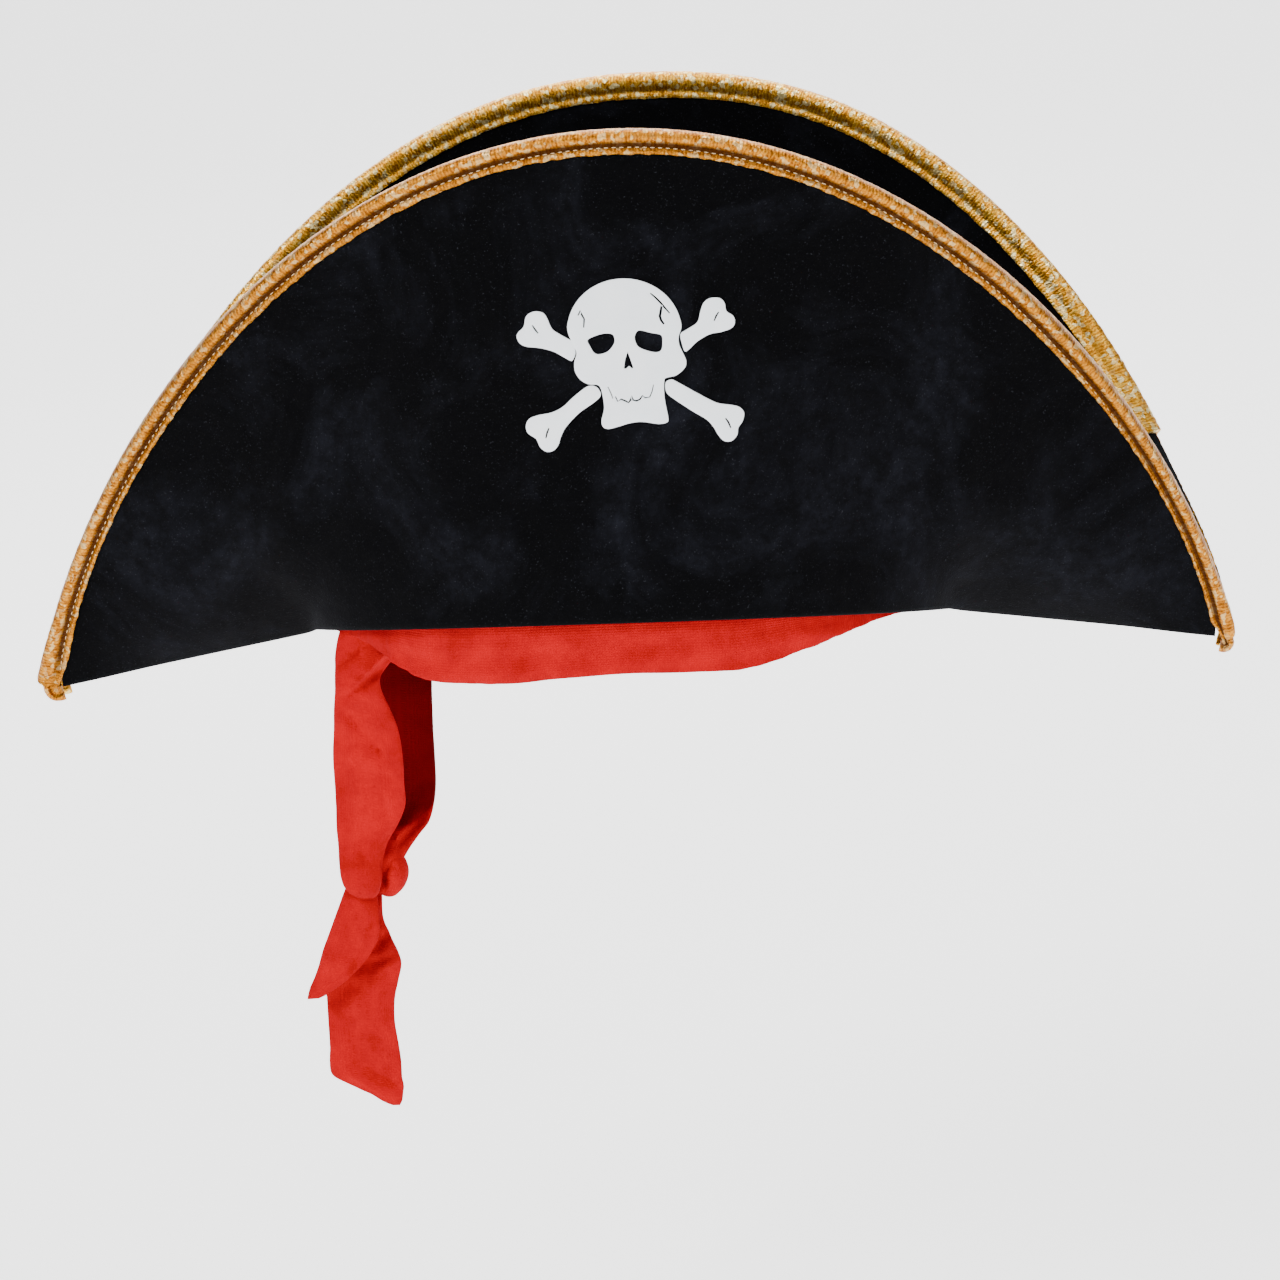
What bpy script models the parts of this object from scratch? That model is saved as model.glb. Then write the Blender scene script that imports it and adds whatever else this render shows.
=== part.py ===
"""A costume pirate hat: two stiffened velour flaps with gold binding, a soft crown and a knotted red sash.

Frame: metres, +Z up. The front of the hat, with the printed flap, faces -Y, and +X is to the viewer's right.
The origin is the centre of the head opening, at the height of the rim in the middle of the front.
"""
import math
from collections import namedtuple

import bmesh
import bpy
from mathutils import Vector

MM = 0.001

# --- Driving dimensions --------------------------------------------------------------------------
HALF_WIDTH = 230 * MM            # centre to the tip of a wing, gold binding included
RIM_SADDLE = 17 * MM             # the rim is this much lower beside the head than at the front and the back
WING_DROP = 19.5 * MM            # further fall of a flap's lower edge from there out to the tip
TIP_HEIGHT = -36.5 * MM          # height of both tips
OPENING_HALF_WIDTH = 121 * MM    # the two flaps are sewn together from here out to the tips
OPENING_HALF_DEPTH = 81.6 * MM
OPENING_CORNER = 0.2             # roundness of the bend where the flaps meet beside the crown
WING_SEAM_OFFSET = 2.4 * MM      # middle of a flap to the wing seam, where the flaps are sewn together
TIP_OFFSET = 4.8 * MM            # the same at the tips, where the two bindings lie side by side
FLAP_BULGE = 4 * MM              # outward swell of a flap at half height
WING_HULL = 1.5                  # how strongly the wings swell out above their seam, like the hull of a boat
HULL_RISE = (80 * MM, 130 * MM)  # along X, where that swell starts, and where it is full
HULL_FALL = (180 * MM, 222 * MM) # where it starts to fade, and where it is gone
EDGE_DEPTH_POWER = 0.8           # how the top edge closes towards the tips, seen from above

FOAM_HALF = 1.1 * MM             # half the thickness of the foam stiffener
PLY_GAP = 0.3 * MM               # clearance between neighbouring layers
VELOUR = 0.8 * MM                # thickness of one velour skin
PANEL_END = 0.972                # the panels stop here, a fraction of the way to the tip, inside the binding

BINDING_WALL = 0.8 * MM
BINDING_SLOT_HALF = 3.5 * MM     # half of the room for the three layers of the flap
BINDING_SLOT_FLOOR = 0.6 * MM    # clearance between the panels' edge and the fold
BINDING_DEPTH = 7.4 * MM         # how far the folded binding reaches over each face
BINDING_CROWN = 1.6 * MM         # the rolled edge stands this far outside the panels

CROWN_BASE = (117 * MM, 79.5 * MM)       # half width and half depth of the crown at the rim
CROWN_SHOULDER = (88 * MM, 58 * MM)      # the same where the side wall meets the top
CROWN_SWELL = 6 * MM
CROWN_SHOULDER_HEIGHT = 98 * MM
CROWN_DOME = 9 * MM
CROWN_WALL = 1.0 * MM
LINING_WALL = 0.7 * MM
SWEATBAND_WALL = 1.6 * MM
SWEATBAND_HEIGHT = 28 * MM

PRINT_CENTRE = (10 * MM, 95 * MM)        # x and z of the middle of the print on the front flap
PRINT_TILT = math.radians(-2.8)
PRINT_SCALE = 0.94
PRINT_THICKNESS = 0.8 * MM
PRINT_STRIP = 12 * MM                    # the print is cut at this spacing so that it bends with the flap
PRINT_GAP = 0.4 * MM

BAND_RADII = (116 * MM, 78.6 * MM)
BAND_WALL = 1.6 * MM
BAND_STRIP = 2.4 * MM                    # height of the band where only its rim shows
BAND_FRONT_HANG = 23 * MM
BAND_BACK_HANG = 16 * MM

SASH_PIVOT_X = -103.9 * MM               # the tied sash swings about a front-to-back line through here
SASH_PIVOT_Z = -26 * MM
STRAND_TOP_RADIUS = 12.2 * MM
STRAND_WALL = 2.0 * MM
KNOT_CENTRE = (-104 * MM, -6 * MM, -114.5 * MM)
KNOT_RADII = (10.8 * MM, 8.5 * MM, 10.6 * MM)
TAIL_PIVOT_Z = -130.3 * MM
TAIL_TOP_RADIUS = 4.6 * MM
TAIL_WALL = 1.6 * MM
SHORT_TAIL_PIVOT = (-114 * MM, -11 * MM)   # x and y of the short tail's hinge line under the knot
LONG_TAIL_PIVOT = (-111.5 * MM, -3 * MM)

# --- Mesh resolution -----------------------------------------------------------------------------
FLAP_COLUMNS = 38
FLAP_ROWS = 4
BINDING_STEPS = 44
CROWN_SEGMENTS = 36
CROWN_ROWS = 4
CROWN_TOP_RINGS = 3
BAND_SEGMENTS = 56

Flap = namedtuple("Flap", "side rise power roundness depth lean curl")
FRONT = Flap(side=-1, rise=216.7 * MM, power=2.04, roundness=1.38, depth=90 * MM, lean=7.5 * MM, curl=0.0)
BACK = Flap(side=1, rise=218.5 * MM, power=2.22, roundness=1.34, depth=85 * MM, lean=10 * MM, curl=12 * MM)
CURL_RISE = (155 * MM, 205 * MM)     # along +X, where the back flap starts to roll back, and is rolled
CURL_FALL = (206 * MM, 229 * MM)     # it comes back to the seam before the tip
CURL_FOOT = 0.45                     # the roll starts at this fraction of the flap's height
ROW_CROWDING = 1.4                   # rows of the panel mesh lie closer together towards the top edge


# --- Scene and materials -------------------------------------------------------------------------
def clear_scene():
    for obj in list(bpy.data.objects):
        bpy.data.objects.remove(obj, do_unlink=True)


def make_material(name, colour, roughness, metallic=0.0):
    material = bpy.data.materials.new(name)
    material.use_nodes = True
    shader = material.node_tree.nodes["Principled BSDF"]
    shader.inputs["Base Color"].default_value = (*colour, 1.0)
    shader.inputs["Roughness"].default_value = roughness
    shader.inputs["Metallic"].default_value = metallic
    material.diffuse_color = (*colour, 1.0)
    return material


def make_part(name, vertices, faces, material, origin=(0.0, 0.0, 0.0), smooth=True):
    """Turn world-space vertices into a named object whose origin is at the given place."""
    place = Vector(origin)
    mesh = bpy.data.meshes.new(name)
    mesh.from_pydata([Vector(v) - place for v in vertices], [], faces)
    bm = bmesh.new()
    bm.from_mesh(mesh)
    bmesh.ops.recalc_face_normals(bm, faces=bm.faces)
    bm.to_mesh(mesh)
    bm.free()
    mesh.materials.append(material)
    if smooth:
        mesh.shade_smooth()
        mesh.set_sharp_from_angle(angle=math.radians(40))
    part = bpy.data.objects.new(name, mesh)
    part.location = place
    bpy.context.scene.collection.objects.link(part)
    return part


def ease(value, start, end):
    """Smooth step: 0 at start, 1 at end, level at both."""
    t = min(1.0, max(0.0, (value - start) / (end - start)))
    return t * t * (3 - 2 * t)


# --- Shape of a flap -----------------------------------------------------------------------------
def opening_share(x):
    """Depth of the head opening at x, as a share of its depth in the middle, rounded at the seam."""
    t = 1 - (x / OPENING_HALF_WIDTH) ** 2
    rounded = (t + math.sqrt(t * t + OPENING_CORNER ** 4)) / 2
    return math.sqrt(rounded)


def crease_height(x):
    """Height of the flap's lower edge: level in front, lower beside the head, drooping to the tips."""
    wing = max(0.0, (abs(x) - OPENING_HALF_WIDTH) / (HALF_WIDTH - OPENING_HALF_WIDTH))
    return -RIM_SADDLE * (1 - min(1.0, opening_share(x))) - WING_DROP * wing


def seam_offset(x):
    """Distance of the seam from the middle plane, larger at the tips to leave room for the bindings."""
    tip_share = ease(abs(x), 0.8 * HALF_WIDTH, 0.95 * HALF_WIDTH)
    return WING_SEAM_OFFSET + (TIP_OFFSET - WING_SEAM_OFFSET) * tip_share


def crease_depth(x):
    """Distance of the lower edge from the middle plane: round the crown, then pinched together."""
    return seam_offset(x) + OPENING_HALF_DEPTH * opening_share(x)


def panel_half_width():
    return HALF_WIDTH - BINDING_CROWN


def edge_height(flap, x):
    """Height of the curved top edge of the panels, a superellipse that stands on the tips."""
    ratio = min(1.0, abs(x) / panel_half_width())
    return TIP_HEIGHT + (flap.rise - BINDING_CROWN) * (1 - ratio ** flap.power) ** (1 / flap.roundness)


def edge_depth(flap, x):
    ratio = min(1.0, abs(x) / panel_half_width())
    return TIP_OFFSET + (flap.depth - TIP_OFFSET) * (1 - ratio ** 2) ** EDGE_DEPTH_POWER


def surface_point(flap, x, v):
    """Middle of a flap's thickness at x, before the lean, and v, from 0 on the crease to 1 on top."""
    low, high = crease_height(x), edge_height(flap, x)
    z = low + (high - low) * v
    middle = 1 - (x / HALF_WIDTH) ** 2
    hull = WING_HULL * ease(abs(x), *HULL_RISE) * (1 - ease(abs(x), *HULL_FALL))
    depth = crease_depth(x) + (edge_depth(flap, x) - crease_depth(x)) * (v + hull * v * (1 - v) ** 2)
    depth += FLAP_BULGE * middle * 4 * v * (1 - v)
    curl = flap.curl * ease(x, *CURL_RISE) * (1 - ease(x, *CURL_FALL))
    rolled = curl * max(0.0, (v - CURL_FOOT) / (1 - CURL_FOOT)) ** 2
    lean = flap.lean * (z - TIP_HEIGHT) / flap.rise
    return Vector((x + lean, flap.side * (depth + rolled), z - rolled / 2))


def surface_normal(flap, x, v):
    """Unit vector off the flap, away from the crown."""
    step_x, step_v = 0.2 * MM, 0.002
    along = surface_point(flap, x + step_x, v) - surface_point(flap, x - step_x, v)
    up = surface_point(flap, x, v + step_v) - surface_point(flap, x, v - step_v)
    normal = along.cross(up).normalized()
    return normal if normal.y * flap.side > 0 else -normal


def column_position(index):
    """x of a column of the panel mesh: even steps, drawn a little closer together at the tips."""
    share = 2 * index / FLAP_COLUMNS - 1
    return panel_half_width() * PANEL_END * math.sin(share * math.radians(72)) / math.sin(math.radians(72))


def panel_layer(name, flap, inner, outer, material):
    """One ply of a flap, between two offsets from the flap's middle surface."""
    columns, rows = FLAP_COLUMNS + 1, FLAP_ROWS + 1
    vertices = []
    for offset in (inner, outer):
        for i in range(columns):
            x = column_position(i)
            for j in range(rows):
                v = min(0.998, max(0.002, 1 - (1 - j / FLAP_ROWS) ** ROW_CROWDING))
                vertices.append(surface_point(flap, x, v) + surface_normal(flap, x, v) * offset)
    faces = []
    size = columns * rows
    for i in range(columns - 1):
        for j in range(rows - 1):
            a, b, c, d = i * rows + j, (i + 1) * rows + j, (i + 1) * rows + j + 1, i * rows + j + 1
            faces += [(a, b, c), (a, c, d)]
            faces += [(c + size, b + size, a + size), (d + size, c + size, a + size)]
    border = [i * rows for i in range(columns)]
    border += [(columns - 1) * rows + j for j in range(1, rows)]
    border += [i * rows + rows - 1 for i in range(columns - 2, -1, -1)]
    border += [j for j in range(rows - 2, 0, -1)]
    for a, b in zip(border, border[1:] + border[:1]):
        faces.append((a, b, b + size, a + size))
    return make_part(name, vertices, faces, material)


def binding_section():
    """U-shaped section of the folded binding, as (across the flap, down into the flap) pairs."""
    outside = BINDING_SLOT_HALF + BINDING_WALL
    inside = BINDING_SLOT_HALF
    turns = [math.radians(degrees) for degrees in (0, 45, 90, 135, 180)]
    roll = [(-outside * math.cos(a), -BINDING_CROWN * math.sin(a)) for a in turns]
    return [(-outside, BINDING_DEPTH), *roll, (outside, BINDING_DEPTH), (inside, BINDING_DEPTH),
            (inside, -BINDING_SLOT_FLOOR), (-inside, -BINDING_SLOT_FLOOR), (-inside, BINDING_DEPTH)]


def edge_frame(flap, angle):
    """Place on the top edge, and the unit vectors across the flap and down into it."""
    x = panel_half_width() * math.sin(angle)
    here = surface_point(flap, x, 1.0)
    step = math.radians(0.6)
    before = surface_point(flap, panel_half_width() * math.sin(max(-math.pi / 2, angle - step)), 1.0)
    after = surface_point(flap, panel_half_width() * math.sin(min(math.pi / 2, angle + step)), 1.0)
    tangent = (after - before).normalized()
    reach = panel_half_width() * 0.03
    inner_x = x - reach * math.sin(angle) * abs(math.sin(angle)) ** 3
    height = edge_height(flap, inner_x) - crease_height(inner_x)
    drop = (1 - abs(math.sin(angle)) ** 3) * reach + (edge_height(flap, inner_x) - edge_height(flap, x))
    inward = surface_point(flap, inner_x, 1 - drop / height) - here
    inward = (inward - tangent * inward.dot(tangent)).normalized()
    across = inward.cross(tangent).normalized()
    return here, across, inward


def binding(name, flap, material):
    section = binding_section()
    count = len(section)
    vertices = []
    for step in range(BINDING_STEPS + 1):
        angle = math.pi * (step / BINDING_STEPS - 0.5)
        here, across, inward = edge_frame(flap, angle)
        vertices += [here + across * u + inward * w for u, w in section]
    faces = []
    for step in range(BINDING_STEPS):
        for k in range(count):
            a, b = step * count + k, step * count + (k + 1) % count
            faces.append((a, b, b + count, a + count))
    faces.append(tuple(range(count)))
    faces.append(tuple(BINDING_STEPS * count + k for k in reversed(range(count))))
    return make_part(name, vertices, faces, material)


def build_flap(prefix, flap, velour, foam, gold):
    skin_start = FOAM_HALF + PLY_GAP
    skin_end = skin_start + VELOUR
    panel_layer(prefix + "_flap_foam", flap, -FOAM_HALF, FOAM_HALF, foam)
    panel_layer(prefix + "_flap_velour_outer", flap, skin_start, skin_end, velour)
    panel_layer(prefix + "_flap_velour_inner", flap, -skin_end, -skin_start, velour)
    binding(prefix + "_flap_gold_binding", flap, gold)


# --- Crown ---------------------------------------------------------------------------------------
def crown_radii(level, inset):
    """Half width and half depth of the crown: level 0 at the rim, 1 at the shoulder, less a thickness."""
    extra = CROWN_SWELL * 4 * level * (1 - level) - inset
    half_width = CROWN_BASE[0] + (CROWN_SHOULDER[0] - CROWN_BASE[0]) * level + extra
    half_depth = CROWN_BASE[1] + (CROWN_SHOULDER[1] - CROWN_BASE[1]) * level + extra
    return half_width, half_depth


def crown_point(angle, level, inset):
    half_width, half_depth = crown_radii(level, inset)
    x, y = half_width * math.cos(angle), half_depth * math.sin(angle)
    rim = crease_height(x)
    return Vector((x, y, rim + (CROWN_SHOULDER_HEIGHT - rim) * level))


def crown_side(name, start, material):
    """Half of the side wall, a seam's gap short of half a turn."""
    seam = PLY_GAP / 2 / CROWN_SHOULDER[1]
    columns, rows = CROWN_SEGMENTS // 2 + 1, CROWN_ROWS + 1
    vertices = []
    for inset in (0.0, CROWN_WALL):
        for i in range(columns):
            angle = start + seam + (math.pi - 2 * seam) * i / (columns - 1)
            vertices += [crown_point(angle, j / CROWN_ROWS, inset) for j in range(rows)]
    size = columns * rows
    faces = []
    for i in range(columns - 1):
        for j in range(rows - 1):
            a, b, c, d = i * rows + j, (i + 1) * rows + j, (i + 1) * rows + j + 1, i * rows + j + 1
            faces += [(a, b, c), (a, c, d), (c + size, b + size, a + size), (d + size, c + size, a + size)]
    for i in range(columns - 1):
        low, high = i * rows, i * rows + rows - 1
        faces.append((low, low + rows, low + rows + size, low + size))
        faces.append((high, high + rows, high + rows + size, high + size))
    for j in range(rows - 1):
        last = (columns - 1) * rows + j
        faces += [(j, j + 1, j + 1 + size, j + size), (last, last + 1, last + 1 + size, last + size)]
    return make_part(name, vertices, faces, material)


def stacked_rings(name, rings, material, closed_profile=False):
    """Skin a list of rings of equal length; a ring of one point closes the shape at a pole."""
    vertices, index = [], []
    for ring in rings:
        index.append(list(range(len(vertices), len(vertices) + len(ring))))
        vertices += ring
    pairs = list(zip(index, index[1:]))
    if closed_profile:
        pairs.append((index[-1], index[0]))
    faces = []
    for lower, upper in pairs:
        count = max(len(lower), len(upper))
        for k in range(count):
            n = (k + 1) % count
            if len(lower) == 1:
                faces.append((lower[0], upper[n], upper[k]))
            elif len(upper) == 1:
                faces.append((lower[k], lower[n], upper[0]))
            else:
                faces += [(lower[k], lower[n], upper[n]), (lower[k], upper[n], upper[k])]
    return make_part(name, vertices, faces, material)


def turn(count=CROWN_SEGMENTS):
    return [2 * math.pi * k / count for k in range(count)]


def dome_ring(radii, share, base):
    """Ring of the domed top at a share of the way out from the middle."""
    height = base + CROWN_DOME * (1 - share ** 2)
    if share == 0:
        return [Vector((0, 0, height))]
    return [Vector((radii[0] * share * math.cos(a), radii[1] * share * math.sin(a), height)) for a in turn()]


def crown_top(name, material):
    base = CROWN_SHOULDER_HEIGHT + PLY_GAP
    shares = [k / CROWN_TOP_RINGS for k in range(CROWN_TOP_RINGS + 1)]
    lower = [dome_ring(CROWN_SHOULDER, s, base) for s in shares]
    upper = [dome_ring(CROWN_SHOULDER, s, base + CROWN_WALL) for s in reversed(shares)]
    return stacked_rings(name, lower + upper, material)


def crown_lining(name, material):
    inset = CROWN_WALL + PLY_GAP
    levels = [j / CROWN_ROWS for j in range(CROWN_ROWS + 1)]
    outer = [[crown_point(a, s, inset) for a in turn()] for s in levels]
    inner = [[crown_point(a, s, inset + LINING_WALL) for a in turn()] for s in levels]
    for ring in outer + inner:
        for point in ring:
            point.z -= PLY_GAP * point.z / CROWN_SHOULDER_HEIGHT
    for point in inner[-1]:
        point.z -= LINING_WALL
    shares = [k / CROWN_TOP_RINGS for k in range(CROWN_TOP_RINGS - 1, -1, -1)]
    radii = (CROWN_SHOULDER[0] - inset, CROWN_SHOULDER[1] - inset)
    base = CROWN_SHOULDER_HEIGHT - PLY_GAP
    outer += [dome_ring(radii, s, base) for s in shares]
    inner += [dome_ring(radii, s, base - LINING_WALL) for s in shares]
    return stacked_rings(name, outer[::-1] + inner, material)


def oval_band(name, wall, bottom, top, material, count=CROWN_SEGMENTS):
    """Upright oval band; bottom and top each hold the radii and a function from angle to height."""
    def ring(edge, inset):
        (half_width, half_depth), height = edge
        return [Vector(((half_width - inset) * math.cos(a), (half_depth - inset) * math.sin(a), height(a)))
                for a in turn(count)]
    rings = [ring(bottom, 0), ring(top, 0), ring(top, wall), ring(bottom, wall)]
    return stacked_rings(name, rings, material, closed_profile=True)


def sweatband(name, material):
    inset = CROWN_WALL + LINING_WALL + 4 * PLY_GAP
    top_level = (SWEATBAND_HEIGHT + PLY_GAP) / CROWN_SHOULDER_HEIGHT
    bottom = (crown_radii(0.05, inset), lambda a: 0.0)
    top = (crown_radii(top_level * 1.15, inset), lambda a: SWEATBAND_HEIGHT)
    return oval_band(name, SWEATBAND_WALL, bottom, top, material)


# --- Print ---------------------------------------------------------------------------------------
def print_to_flap(u, w, offset):
    """Lay a point of the flat print, measured from its middle, on the front flap."""
    u, w = u * PRINT_SCALE, w * PRINT_SCALE
    x = PRINT_CENTRE[0] + u * math.cos(PRINT_TILT) - w * math.sin(PRINT_TILT)
    z = PRINT_CENTRE[1] + u * math.sin(PRINT_TILT) + w * math.cos(PRINT_TILT)
    flat_x = x - FRONT.lean * (z - TIP_HEIGHT) / FRONT.rise
    v = (z - crease_height(flat_x)) / (edge_height(FRONT, flat_x) - crease_height(flat_x))
    return surface_point(FRONT, flat_x, v) + surface_normal(FRONT, flat_x, v) * offset


def printed_area(name, outline, holes, material):
    """A thin raised area of print: its outline is filled, cut into strips, bent and thickened."""
    bm = bmesh.new()
    for loop in [outline, *holes]:
        corners = [bm.verts.new((u * MM, w * MM, 0)) for u, w in loop]
        for a, b in zip(corners, corners[1:] + corners[:1]):
            bm.edges.new((a, b))
    bmesh.ops.triangle_fill(bm, edges=bm.edges[:], use_beauty=True, use_dissolve=False)
    for axis in (Vector((1, 0, 0)), Vector((0, 1, 0))):
        for cut in range(-3, 4):
            bmesh.ops.bisect_plane(bm, geom=bm.verts[:] + bm.edges[:] + bm.faces[:], dist=1e-7,
                                   plane_co=axis * PRINT_STRIP * cut, plane_no=axis)
    bmesh.ops.triangulate(bm, faces=bm.faces[:])
    bm.verts.ensure_lookup_table()
    start = FOAM_HALF + PLY_GAP + VELOUR + PRINT_GAP
    flat = [(v.co.x, v.co.y) for v in bm.verts]
    lower = [print_to_flap(u, w, start) for u, w in flat]
    upper = [print_to_flap(u, w, start + PRINT_THICKNESS) for u, w in flat]
    count = len(flat)
    faces = [tuple(v.index for v in face.verts) for face in bm.faces]
    closed = [tuple(reversed(f)) for f in faces] + [tuple(i + count for i in f) for f in faces]
    for edge in bm.edges:
        if edge.is_boundary:
            a, b = (v.index for v in edge.verts)
            closed.append((a, b, b + count, a + count))
    bm.free()
    return make_part(name, lower + upper, closed, material, smooth=False)


def arc(centre, radii, start, end, steps):
    """Points on an elliptical arc, angles in degrees."""
    angles = [math.radians(start + (end - start) * k / steps) for k in range(steps + 1)]
    return [(centre[0] + radii[0] * math.cos(a), centre[1] + radii[1] * math.sin(a)) for a in angles]


def skull_outline():
    """Cranium as an arc, then the left cheekbone, the jaw and the right cheekbone (millimetres)."""
    cranium = arc((-2.3, 14), (21.5, 20), -18, 198, 16)
    left = [(-21.6, 1), (-20, -3.5), (-14, -5), (-11, -10), (-11, -22.5), (-8, -24)]
    right = [(4, -21.4), (11, -22.2), (14, -20.5), (12.6, -6), (18, -3.5), (20.5, 0.5)]
    return cranium + left + right


def bone_outline(start, end):
    """A bone end: a straight shaft and two round knobs side by side (millimetres)."""
    half_shaft, knob, spread = 3.8, 5.0, 4.8
    along = Vector((end[0] - start[0], end[1] - start[1])).normalized()
    across = Vector((-along.y, along.x))
    base, tip = Vector(start), Vector(end)
    heading = math.degrees(math.atan2(along.y, along.x))
    first = arc(tip + across * -spread, (knob, knob), heading - 140, heading + 50, 7)
    second = arc(tip + across * spread, (knob, knob), heading - 50, heading + 140, 7)
    points = [base - across * half_shaft, *first, *second, base + across * half_shaft]
    return [tuple(p) for p in points]


EYES_AND_NOSE = (
    [(-16.5, 10), (-7, 12.8), (-6, 8), (-12.2, 4.4), (-15.5, 6)],
    [(1.5, 11.5), (3.2, 14), (12, 12.4), (12, 6.9), (10.2, 5.6), (2.4, 7.7)],
    [(-1.3, 6), (-2.8, -0.6), (0.9, -0.8)],
)
BONES = {
    "bone_print_upper_left": ((-25.6, 8.0), (-37.0, 14.5)),
    "bone_print_upper_right": ((22.6, 11.9), (33.8, 20.5)),
    "bone_print_lower_left": ((-17.0, -12.0), (-33.8, -26.3)),
    "bone_print_lower_right": ((19.2, -8.6), (36.4, -21.4)),
}


# --- Sash ----------------------------------------------------------------------------------------
def band_bottom(angle):
    """Lower edge of the band: deep across the front, shallower behind, a narrow strip at the sides."""
    x = BAND_RADII[0] * math.cos(angle)
    hang = BAND_FRONT_HANG if math.sin(angle) < 0 else BAND_BACK_HANG
    share = ease(x, -92 * MM, -74 * MM) * (1 - ease(x, 50 * MM, 100 * MM))
    return min(band_top(angle) - BAND_STRIP, -hang * share)


def band_top(angle):
    return crease_height(CROWN_BASE[0] * math.cos(angle)) - PLY_GAP


def ribbon(name, rows, depth_at, wall, material, origin):
    """A flat length of cloth, as rows of (height, left edge, right edge), whose depth follows its height."""
    vertices = []
    for z, left, right in rows:
        y = depth_at(z)
        for x in (left, right):
            vertices += [(x, y - wall / 2, z), (x, y + wall / 2, z)]
    faces = [(0, 2, 3, 1)]
    for k in range(len(rows) - 1):
        a, b = 4 * k, 4 * (k + 1)
        faces += [(a, a + 2, b + 2, b), (a + 1, b + 1, b + 3, a + 3)]
        faces += [(a, b, b + 1, a + 1), (a + 2, a + 3, b + 3, b + 2)]
    last = 4 * (len(rows) - 1)
    faces.append((last, last + 1, last + 3, last + 2))
    return make_part(name, vertices, faces, material, origin=origin, smooth=False)


def rounded_top(pivot_x, pivot_z, radius):
    """Rows of a half-round top centred on the hinge line, so that the piece can swing under what holds it."""
    rows = []
    for degrees in (80, 60, 40, 20, 0):
        half = radius * math.cos(math.radians(degrees))
        rows.append((pivot_z + radius * math.sin(math.radians(degrees)), pivot_x - half, pivot_x + half))
    return rows


def millimetre_rows(rows):
    return [(z * MM, left * MM, right * MM) for z, left, right in rows]


def sloping(top, bottom):
    """Depth that changes evenly from one (height, depth) pair to another."""
    def depth_at(z):
        share = (z - top[0]) / (bottom[0] - top[0])
        return top[1] + (bottom[1] - top[1]) * share
    return depth_at


def sash_knot(name, material):
    """The knot as an egg-shaped lump: rings of latitude between two poles."""
    centre, steps, around = Vector(KNOT_CENTRE), 8, 14
    rings = []
    for k in range(steps + 1):
        latitude = math.pi * (k / steps - 0.5)
        reach = math.cos(latitude) if 0 < k < steps else 0.0
        half_width, half_depth = KNOT_RADII[0] * reach, KNOT_RADII[1] * reach
        height = KNOT_RADII[2] * math.sin(latitude)
        angles = turn(around) if reach else [0.0]
        ring = [Vector((half_width * math.cos(a), half_depth * math.sin(a), height)) for a in angles]
        rings.append([centre + point for point in ring])
    return stacked_rings(name, rings, material)


def build_sash(cloth):
    lower, upper = (BAND_RADII, band_bottom), (BAND_RADII, band_top)
    oval_band("sash_band", BAND_WALL, lower, upper, cloth, count=BAND_SEGMENTS)
    pivot = (SASH_PIVOT_X, KNOT_CENTRE[1], SASH_PIVOT_Z)
    top = rounded_top(SASH_PIVOT_X, SASH_PIVOT_Z, STRAND_TOP_RADIUS)
    front = top + millimetre_rows([(-48, -113.3, -89.6), (-64, -114.3, -88.6), (-84, -114.6, -89.2),
                                   (-95, -114.2, -94.5), (-103.2, -112.5, -98.8)])
    front_depth = sloping((-10 * MM, -36 * MM), (-103 * MM, -10.5 * MM))
    ribbon("sash_front_strand", front, front_depth, STRAND_WALL, cloth, pivot)
    back = top + millimetre_rows([(-42, -108, -82.5), (-64, -107.5, -81.8), (-84, -107.5, -82),
                                  (-94, -108, -84.5), (-103.2, -108.5, -95)])
    back_depth = sloping((-10 * MM, 26 * MM), (-103 * MM, -2 * MM))
    ribbon("sash_back_strand", back, back_depth, STRAND_WALL, cloth, pivot)
    sash_knot("sash_knot", cloth)
    short = rounded_top(SHORT_TAIL_PIVOT[0], TAIL_PIVOT_Z, TAIL_TOP_RADIUS)
    short += millimetre_rows([(-137, -119.5, -104), (-146, -124, -99.5), (-156, -129.5, -98),
                              (-162, -132.6, -103), (-166.3, -134.4, -126)])
    ribbon("sash_short_tail", short, lambda z: SHORT_TAIL_PIVOT[1], TAIL_WALL, cloth,
           (SHORT_TAIL_PIVOT[0], SHORT_TAIL_PIVOT[1], TAIL_PIVOT_Z))
    long = rounded_top(LONG_TAIL_PIVOT[0], TAIL_PIVOT_Z, TAIL_TOP_RADIUS)
    long += millimetre_rows([(-141, -117, -101.5), (-153, -122, -97.3), (-165, -127, -99),
                             (-181, -126.9, -100), (-197, -126.7, -99.6), (-205, -113.5, -99.1),
                             (-211, -102.6, -100.5)])
    ribbon("sash_long_tail", long, lambda z: LONG_TAIL_PIVOT[1], TAIL_WALL, cloth,
           (LONG_TAIL_PIVOT[0], LONG_TAIL_PIVOT[1], TAIL_PIVOT_Z))


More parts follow.
